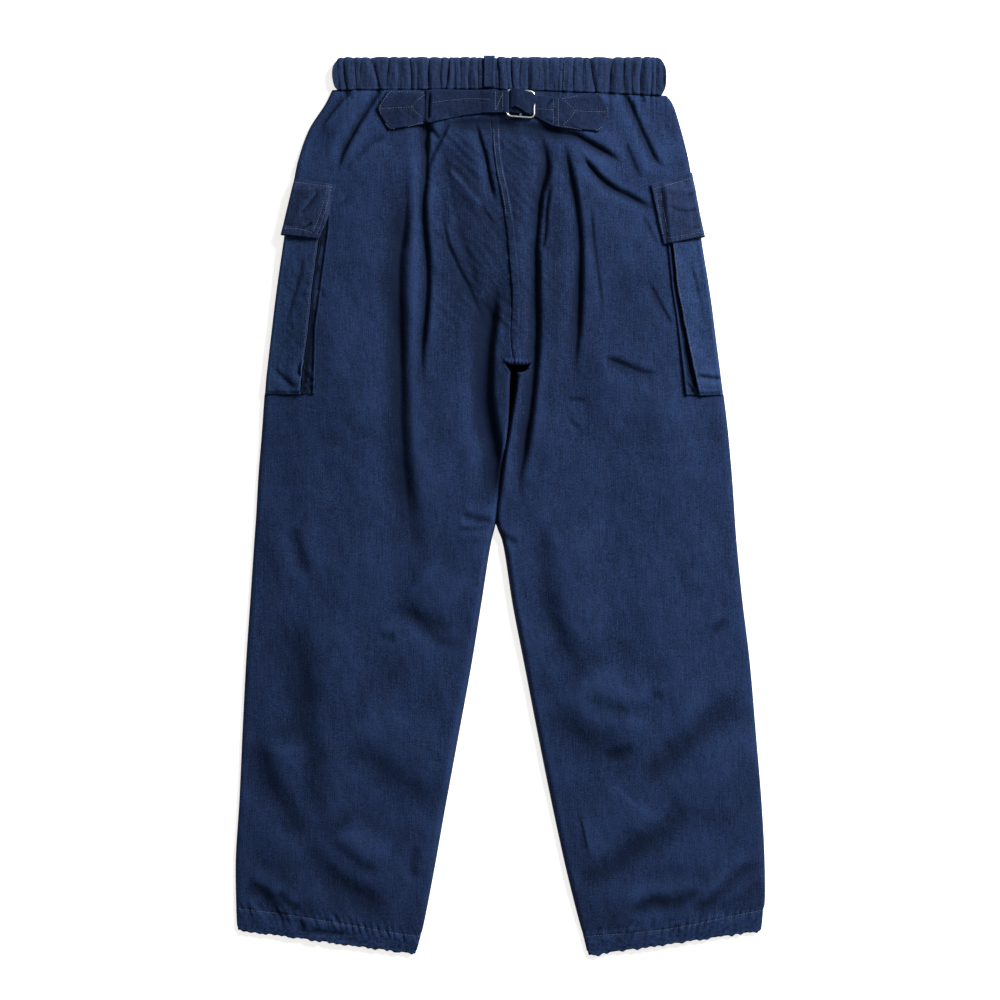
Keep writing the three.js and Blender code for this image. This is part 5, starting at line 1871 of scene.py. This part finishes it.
@dataclass
class CinchStrap:
    """Strap with a sewn, pointed end that runs to the buckle.

    Attributes:
        name: Name of the frame's node.
        lays: How both legs lie.
        rows: Places from the point to the buckle.
        bars: Rows round the buckle's bars.
        seams: Sewn lines.
        folds: Creases.
        cut: Flat size; not used.
        step: Distance from one row to the next.
        across: Grid steps across.
    """

    name: str
    lays: Sequence[LegLay]
    rows: Sequence[StrapRow]
    bars: Sequence[BarRow]
    seams: tuple[Seam, ...]
    folds: tuple[Fold, ...]
    cut: Cut
    step: float = 1.1
    across: int = 26

    def build(self) -> bpy.types.Object:
        """Builds and dresses the strap.

        Returns:
            The strap.
        """
        share = np.linspace(0, 1, self.across + 1)[None, :]
        sewn = self._sewn(share)
        ends = (float(value) for value in (*sewn[-1, 0, :2], *sewn[-1, -1, :2], sewn[-1, :, 2].mean()))
        turns = spline([BarRow(*ends), *self.bars], 5)[1:]
        low_x, low_y, high_x, high_y, level = turns.T[:, :, None]
        x, y = mix(low_x, high_x, share), mix(low_y, high_y, share)
        ripple = 0.35 * Noise(48).at(x / 8, y / 8) * ease(np.arange(len(turns)) / 8)[:, None]
        middle = np.vstack([sewn, np.dstack([x, y, level + ripple])])
        made = ClothWall(f"cloth_{self.name}", CLOTH, ridge_span=3, ridge_height=0.25).build(middle)
        dress(made, STRAP_CLOTH, [self.name])
        return made

    def _sewn(self, share: Array) -> Array:
        """Works out the part from the point to the buckle.

        Args:
            share: Shares across the strap, in one row.

        Returns:
            The middle grid.
        """
        xs = [row.x for row in self.rows]
        order = 1 if xs[-1] > xs[0] else -1
        count = round(abs(xs[-1] - xs[0]) / self.step)
        x = np.linspace(xs[0], xs[-1], count)
        low, high, bridge = (
            np.interp(order * x, [order * value for value in xs], [getattr(row, name) for row in self.rows])
            for name in ("low", "high", "bridge")
        )
        y = mix(low[:, None], high[:, None], share)
        wide_x = np.broadcast_to(x[:, None], y.shape)
        resting = np.max([lay.resting(wide_x, y, 6) for lay in self.lays], axis=0)
        resting = resting + LAYER + 0.3
        lifted = np.maximum(resting, mix(resting, BUCKLE_Z - 1, bridge[:, None]))
        relief = Relief(self.folds, self.seams, 23, start_at_waist=1000)
        detail = fine_form(wide_x, y, relief, Crumple(0.25, 0.3, 0.18, 47, 1.0))
        calm = 1 - ease(np.abs(x - xs[0]) / abs(xs[-1] - xs[0]) * 8 - 7)[:, None]
        return np.dstack([wide_x, y, lifted + detail * calm])


@dataclass
class Buckle:
    """Wire frame with a centre bar.

    Attributes:
        sides: Faces round the wire.
        corner_steps: Steps round each corner.
        skew: How far the wire sits askew, down for each millimetre to the right.
        sag: How far the wire hangs below its place in the frame.
    """

    sides: int = 16
    corner_steps: int = 8
    skew: float = 0.07
    sag: float = 0.6

    def build(self) -> bpy.types.Object:
        """Builds and dresses the buckle.

        Returns:
            The buckle.
        """
        radius, corner = BUCKLE_WIRE / 2, BUCKLE_CORNER
        left, right = BUCKLE_LEFT + radius, BUCKLE_RIGHT - radius
        low, high = BUCKLE_LOW_Y + radius, BUCKLE_HIGH_Y - radius
        centres = (
            (right - corner, high - corner, 0), (left + corner, high - corner, 90),
            (left + corner, low + corner, 180), (right - corner, low + corner, 270),
        )
        ring = [
            (x + corner * math.cos(angle), y + corner * math.sin(angle), BUCKLE_Z)
            for x, y, start in centres
            for angle in np.radians(np.linspace(start, start + 90, self.corner_steps + 1))
        ]
        frame_places, frame_faces = self._wire(np.asarray(ring), True)
        middle = (left + right) / 2
        bar = np.asarray([(middle, y, BUCKLE_Z) for y in np.linspace(low - 0.2, high + 0.2, 9)])
        bar_places, bar_faces = self._wire(bar, False)
        shift = len(frame_places)
        faces = frame_faces + [[shift + number for number in face] for face in bar_faces]
        places = np.vstack([frame_places, bar_places])
        places[:, 1] -= self.skew * (places[:, 0] - BUCKLE_LEFT) + self.sag
        made = make_object("wire_buckle", places, faces)
        dress(made, Nickel(), ["buckle"])
        return made

    def _wire(self, centres: Array, closed: bool) -> tuple[Array, list[list[int]]]:
        """Sweeps the round wire along its centre line.

        Args:
            centres: Points of the centre line, all at one height.
            closed: Whether the wire meets itself.

        Returns:
            The vertices and the faces.
        """
        if closed:
            heading = np.roll(centres, -1, axis=0) - np.roll(centres, 1, axis=0)
        else:
            heading = np.gradient(centres, axis=0)
        heading /= np.linalg.norm(heading, axis=1, keepdims=True)
        level = np.stack([-heading[:, 1], heading[:, 0], np.zeros(len(heading))], axis=1)
        angle = np.linspace(0, 2 * np.pi, self.sides, endpoint=False)
        ring = level[:, None, :] * np.cos(angle)[None, :, None]
        ring = ring + np.array([0, 0, 1])[None, None, :] * np.sin(angle)[None, :, None]
        places = (centres[:, None, :] + ring * BUCKLE_WIRE / 2).reshape(-1, 3)
        return places, tube_faces(0, len(centres), self.sides, closed)


@dataclass
class Topstitching:
    """Rows of single stitches that lie on the cloth.

    Attributes:
        thickness: Thickness of the thread.
        stitch: Length of a stitch.
        pitch: Distance from one stitch to the next.
        proud: How far a stitch stands out of the cloth.
        sides: Faces round the thread.
    """

    # Rings of a stitch: their shares along it, how far they stand out and how thick they are
    SHARES: ClassVar[tuple[float, ...]] = (0, 0.22, 0.5, 0.78, 1)
    STAND: ClassVar[tuple[float, ...]] = (-0.3, 1, 1, 1, -0.3)
    GIRTH: ClassVar[tuple[float, ...]] = (0.35, 0.9, 1, 0.9, 0.35)

    thickness: float = 0.42
    stitch: float = 2.1
    pitch: float = 2.9
    proud: float = 0.08
    sides: int = 6

    def sew(self, name: str, carriers: list[bpy.types.Object], paths: Iterable[Points]) -> bpy.types.Object:
        """Sews rows of stitches onto some pieces.

        Args:
            name: Name of the thread's object.
            carriers: Pieces that carry the stitches.
            paths: Lines to sew along.

        Returns:
            The thread's object.
        """
        trees = [
            BVHTree.FromPolygons([v.co.copy() for v in piece.data.vertices],
                                 [list(face.vertices) for face in piece.data.polygons])
            for piece in carriers
        ]
        stations = np.array(self.SHARES) * self.stitch
        places, faces = [], []
        for path in paths:
            line = Line(path, 12)
            for start in np.arange(0.3, line.length - self.stitch, self.pitch):
                x, y = (np.interp(start + stations, line.starts, line.points[:, k]) for k in (0, 1))
                tops = [self._top(trees, *place) for place in zip(x, y)]
                if None not in tops:
                    faces += tube_faces(len(places) * len(stations) * self.sides, len(stations), self.sides)
                    places.append(self._stitch(x, y, np.asarray(tops)))
        made = make_object(name, np.vstack(places), faces)
        dress(made, THREAD)
        return made

    def _stitch(self, x: Array, y: Array, top: Array) -> Array:
        """Places the rings of one stitch.

        Args:
            x: Places across, by ring.
            y: Places up, by ring.
            top: Top of the cloth, by ring.

        Returns:
            The vertices, ring by ring.
        """
        angle = np.linspace(0, 2 * np.pi, self.sides, endpoint=False)
        z = top + np.array(self.STAND) * self.proud
        heading = np.array([x[-1] - x[0], y[-1] - y[0]])
        heading /= np.hypot(*heading)
        radius = np.array(self.GIRTH)[:, None] * self.thickness / 2
        ring_x = x[:, None] - heading[1] * radius * np.cos(angle)[None, :]
        ring_y = y[:, None] + heading[0] * radius * np.cos(angle)[None, :]
        ring_z = z[:, None] + radius * np.sin(angle)[None, :]
        return np.dstack([ring_x, ring_y, ring_z]).reshape(-1, 3)

    @staticmethod
    def _top(trees: list[BVHTree], x: float, y: float) -> float | None:
        """Finds the top of the pieces at a place.

        Args:
            trees: The pieces' faces.
            x: Place across.
            y: Place up.

        Returns:
            The height, or None beside them.
        """
        hits = [tree.ray_cast(Vector((x * MM, y * MM, 0.1)), Vector((0, 0, -1)))[0] for tree in trees]
        heights = [hit.z / MM for hit in hits if hit is not None]
        return max(heights) if heights else None


@dataclass(frozen=True)
class Studio:
    """Pale floor, soft light and the camera that looks straight down.

    Attributes:
        floor_side: Side of the floor, in metres.
        eye: Place of the camera, in metres.
        seen: Width that the camera takes in at the floor, in metres.
        sensor: Width of the sensor, in millimetres.
        key_place: Place of the soft box.
        key_size: Side of the soft box.
        key_power: Power of the soft box, in watts.
        top_place: Place of the weaker soft box overhead.
        top_size: Side of the soft box overhead.
        top_power: Power of the soft box overhead, in watts.
        sky: Strength of the light from all round.
    """

    floor_side: float = 8.0
    eye: tuple[float, float, float] = (0.0, 0.0063, 3.0)
    seen: float = 1.1
    sensor: float = 36.0
    key_place: tuple[float, float, float] = (1.68, 1.56, 1.36)
    key_size: float = 1.1
    key_power: float = 152.0
    top_place: tuple[float, float, float] = (0.1, 0.3, 3.4)
    top_size: float = 1.7
    top_power: float = 11.0
    sky: float = 0.09

    def build(self) -> None:
        """Builds the floor, the lights and the camera."""
        half = self.floor_side / 2 / MM
        turns = ((-1, -1), (1, -1), (1, 1), (-1, 1))
        corners = np.array([(half * x, half * y, -0.1) for x, y in turns])
        floor = make_object("floor", corners, [[0, 1, 2, 3]])
        floor.data.materials.append(PlainFloor().material())
        scene = bpy.context.scene
        scene.view_settings.view_transform = "Standard"
        world = bpy.data.worlds.new("studio_air")
        world.use_nodes = True
        background = world.node_tree.nodes["Background"]
        background.inputs["Color"].default_value = (1, 1, 1, 1)
        background.inputs["Strength"].default_value = self.sky
        scene.world = world
        self._soft_box("key_light", self.key_place, self.key_size, self.key_power)
        self._soft_box("top_light", self.top_place, self.top_size, self.top_power)
        lens = bpy.data.cameras.new("camera")
        lens.sensor_width = self.sensor
        lens.lens = self.sensor * self.eye[2] / self.seen
        camera = bpy.data.objects.new("camera", lens)
        camera.location = self.eye
        scene.collection.objects.link(camera)
        scene.camera = camera

    @staticmethod
    def _soft_box(name: str, place: tuple[float, float, float], size: float, power: float) -> None:
        """Adds a square soft box that faces the trousers.

        Args:
            name: Name of the light.
            place: Where it stands, in metres.
            size: Its side, in metres.
            power: Its power, in watts.
        """
        light = bpy.data.lights.new(name, "AREA")
        light.size = size
        light.energy = power
        box = bpy.data.objects.new(name, light)
        box.location = place
        box.rotation_euler = (-Vector(place)).to_track_quat("-Z", "Y").to_euler()
        bpy.context.scene.collection.objects.link(box)


STRAP_LEFT_ROWS = [StrapRow(*row) for row in (
    (-133.5, 434, 436.5, 0), (-121.5, 411.8, 456, 0), (-102, 414.8, 455.4, 0), (-83, 418, 454.6, 0),
    (-75, 419.4, 455.8, 0.2), (-58, 423.4, 456, 0.5), (-40, 427.4, 455.4, 0.75), (-20, 430, 454.8, 0.92),
)]
STRAP_RIGHT_ROWS = [StrapRow(*row) for row in (
    (119.4, 430.2, 432.6, 0), (108.5, 409.8, 452.4, 0), (88, 411.7, 449.8, 0),
    (68, 413.5, 447.4, 0.15), (57, 416, 448, 0.45), (47, 421.5, 449.5, 0.8),
)]


def left_bar_turn() -> list[BarRow]:
    """Works out how the left strap turns round the left bar and is sewn back on itself.

    Returns:
        Its rows from the top layer, round the bar and back under itself.
    """
    centre = BUCKLE_LEFT + BUCKLE_WIRE / 2
    reach = BUCKLE_WIRE / 2 + SEAM_GAP + CLOTH / 2
    folded = CLOTH / 2 + SEAM_GAP / 2
    turn = [
        (centre + reach * math.sin(angle), BUCKLE_Z + reach * math.cos(angle))
        for angle in np.linspace(0, math.pi, 7)
    ]
    above = [(x, BUCKLE_Z + folded) for x in (-6, 1)]
    below = [(x, BUCKLE_Z - folded) for x in (1, -5)]
    return [BarRow(x, 430.3, x, 453.9, z) for x, z in (*above, *turn, *below)]


# The right strap runs under the right bar, over the centre one, turns up and ends over the right bar
RIGHT_STRAP_BARS = [BarRow(*row) for row in (
    (40.5, 425.5, 40.5, 449.5, 12.2), (35.5, 427.8, 35.5, 450, 12.1), (29, 428.8, 29, 451.5, 14.6),
    (23.6, 429.2, 23.6, 452.3, 16.5), (20.5, 429.5, 20.5, 453, 16.4), (15, 430.1, 15, 454.3, 15),
    (12, 430.8, 12, 454.8, 14.6), (11.2, 432.6, 11.2, 455.2, 15.6), (12, 434.8, 12, 455.6, 17),
    (16.5, 436.6, 16.5, 456.6, 18.2), (22, 434, 23, 455.4, 18.8), (28.5, 429.6, 30, 453.4, 18.5),
    (33, 429.4, 36.5, 450.4, 18), (35, 430, 40.5, 448, 17.2),
)]


def stitched(seams: Iterable[Seam]) -> list[Points]:
    """Paths of the sewn lines on which thread shows."""
    return [seam.path for seam in seams if seam.stitched]


LEFT_STRAP_SEAMS = (
    Seam(((-120.5, 454), (-131.5, 435), (-119.8, 413.8), (-83, 419.8)), pucker=0.12),
    Seam(((-120.5, 454.2), (-83, 453)), pucker=0.12),
    Seam(((-133, 435), (-95.5, 437)), pucker=0.12),
    Seam(((-82.5, 451), (-95.5, 437), (-86, 425.5)), pucker=0.12),
    Seam(((-82.5, 452), (-82.5, 420)), pucker=0.12),
    Seam(((-74, 441.5), (-34, 446), (-9, 444.5)), pucker=0.15),
    Seam(((-5, 453), (-5, 432)), pucker=0.05),
    Seam(((3, 453), (3, 432)), pucker=0.05),
    Seam(((-5, 433), (3, 452)), pucker=0.05),
)
RIGHT_STRAP_SEAMS = (
    Seam(((68, 446), (108.5, 450.6), (117.6, 431.5), (107.5, 411.8), (68, 415.2)), pucker=0.12),
    Seam(((81.5, 432.5), (117, 431.5)), pucker=0.12),
    Seam(((70.5, 444.5), (81.5, 432.5), (68.5, 416)), pucker=0.12),
    Seam(((58.5, 447), (58.5, 417)), pucker=0.12),
    Seam(((64, 446.5), (64, 415)), pucker=0.12),
    Seam(((41, 435), (58, 433.5)), pucker=0.1),
)
POCKET_SEAMS = {
    Side.LEFT: (
        Seam(((-199, 300), (-207.5, 241.5), (-212, 196), (-216, 160), (-220, 128)), 0.3, 0.18, 6, 4),
    ),
    Side.RIGHT: (
        Seam(((190, 292), (195.5, 241.5), (204.5, 196), (212, 160), (219.5, 129)), 0.3, 0.18, 6, 4),
        Seam(((220, 130), (247, 128)), 0.3, 0.15, 6, 4, stitched=False),
    ),
}
POCKET_FOLDS = {
    Side.LEFT: (
        Fold(((-206, 170), (-220, 152), (-214, 132)), 1.4, 4, (0.8, 6), (0.8, 6), 0.3),
        Fold(((-250, 152), (-232, 136), (-222, 127)), 1, 5),
        Fold(((-214, 276), (-226, 230), (-236, 196)), 0.9, 6, (0.6, 9), (0.6, 9)),
    ),
    Side.RIGHT: (
        Fold(((214, 143), (228, 141), (246, 139)), 1.4, 4, (0.6, 6), (1, 6), 0.4),
        Fold(((206, 270), (216, 236), (224, 196)), 0.9, 6, (0.6, 9), (0.6, 9)),
    ),
}
CRUSHED = {Side.LEFT: (-210.0, 138.0), Side.RIGHT: (207.0, 128.0)}
FLAP_SEAMS = {
    Side.LEFT: (
        Seam(((-226, 355), (-182, 348.5)), 0.4, 0.2, 6, 4),
        Seam(((-185, 346), (-191, 322), (-200.5, 295)), 0.35, 0.25, 5, 4),
        Seam(((-189, 346), (-195.5, 322), (-205, 297)), 0.35, 0.2, 5, 4),
        Seam(((-239, 303.5), (-220.5, 303), (-203, 298)), 0.35, 0.3, 5, 4),
    ),
    Side.RIGHT: (
        Seam(((168, 346.5), (210, 359)), 0.4, 0.2, 6, 4),
        Seam(((171, 342), (178.5, 296)), 0.35, 0.25, 5, 4),
        Seam(((176, 342), (183.5, 297)), 0.35, 0.2, 5, 4),
        Seam(((183, 292.5), (224.5, 300)), 0.35, 0.3, 5, 4),
    ),
}
FLAP_FOLDS = {
    Side.LEFT: (
        Fold(((-219, 318), (-208, 331), (-198, 344)), 1.1, 4, (0.8, 7), (0.8, 7), 0.2),
        Fold(((-218, 303), (-211, 306), (-205, 311)), 0.9, 2.5, (0.8, 4), (0.4, 4), 0.4),
    ),
    Side.RIGHT: (Fold(((182, 330), (200, 322), (220, 326)), 0.8, 6, (0.6, 9), (0.6, 9)),),
}


def main() -> None:
    """Builds and dresses all pieces."""
    logging.basicConfig(level=logging.INFO, format="%(message)s")
    Studio().build()
    gathers = Gathers()
    lays = {side: LegLay(side, gathers) for side in Side}
    backs = {side: LegPanels(lay).build()[0] for side, lay in lays.items()}
    band = Waistband(gathers)
    band_back = band.build()[0]
    BeltLoop(band).build()
    threads = Topstitching()
    for side, lay in lays.items():
        pocket = BellowsPocket(
            lay, seams=POCKET_SEAMS[side], flap_seams=FLAP_SEAMS[side],
            folds=POCKET_FOLDS[side], flap_folds=FLAP_FOLDS[side], crushed=CRUSHED[side],
        )
        face, _, flap = pocket.build()
        threads.sew(f"thread_pocket_{side.label}", [face], stitched(POCKET_SEAMS[side]))
        threads.sew(f"thread_flap_{side.label}", [flap], stitched(FLAP_SEAMS[side]))
        threads.sew(f"thread_hem_{side.label}", [backs[side]], [HEM_LINES[side]])
    both = list(lays.values())
    straps = (
        CinchStrap("strap_left", both, STRAP_LEFT_ROWS, left_bar_turn(), LEFT_STRAP_SEAMS, (
            Fold(((-76.5, 455), (-77.5, 437), (-78, 420)), 1.6, 2.4, (0.3, 5), (1.2, 7), 0.4),
        ), Cut(0.045, 0.165, 0.0058)),
        CinchStrap("strap_right", both, STRAP_RIGHT_ROWS, RIGHT_STRAP_BARS, RIGHT_STRAP_SEAMS, (
            Fold(((60, 446), (50, 438), (42, 428)), 1, 4, (0.6, 6), (0.6, 6), 0.2),
        ), Cut(0.045, 0.115, 0.0042)),
    )
    for strap in straps:
        made = strap.build()
        threads.sew(f"thread_{strap.name}", [made], stitched(strap.seams))
    Buckle().build()
    twin = [[(x + offset, y) for x, y in CENTRE_SEAM if 300 < y < 425] for offset in (2.0, 7.0)]
    threads.sew("thread_centre_seam", [backs[Side.RIGHT]], twin)
    threads.sew("thread_waistband", [band_back], stitched(band.seams))


if __name__ == "__main__":
    main()
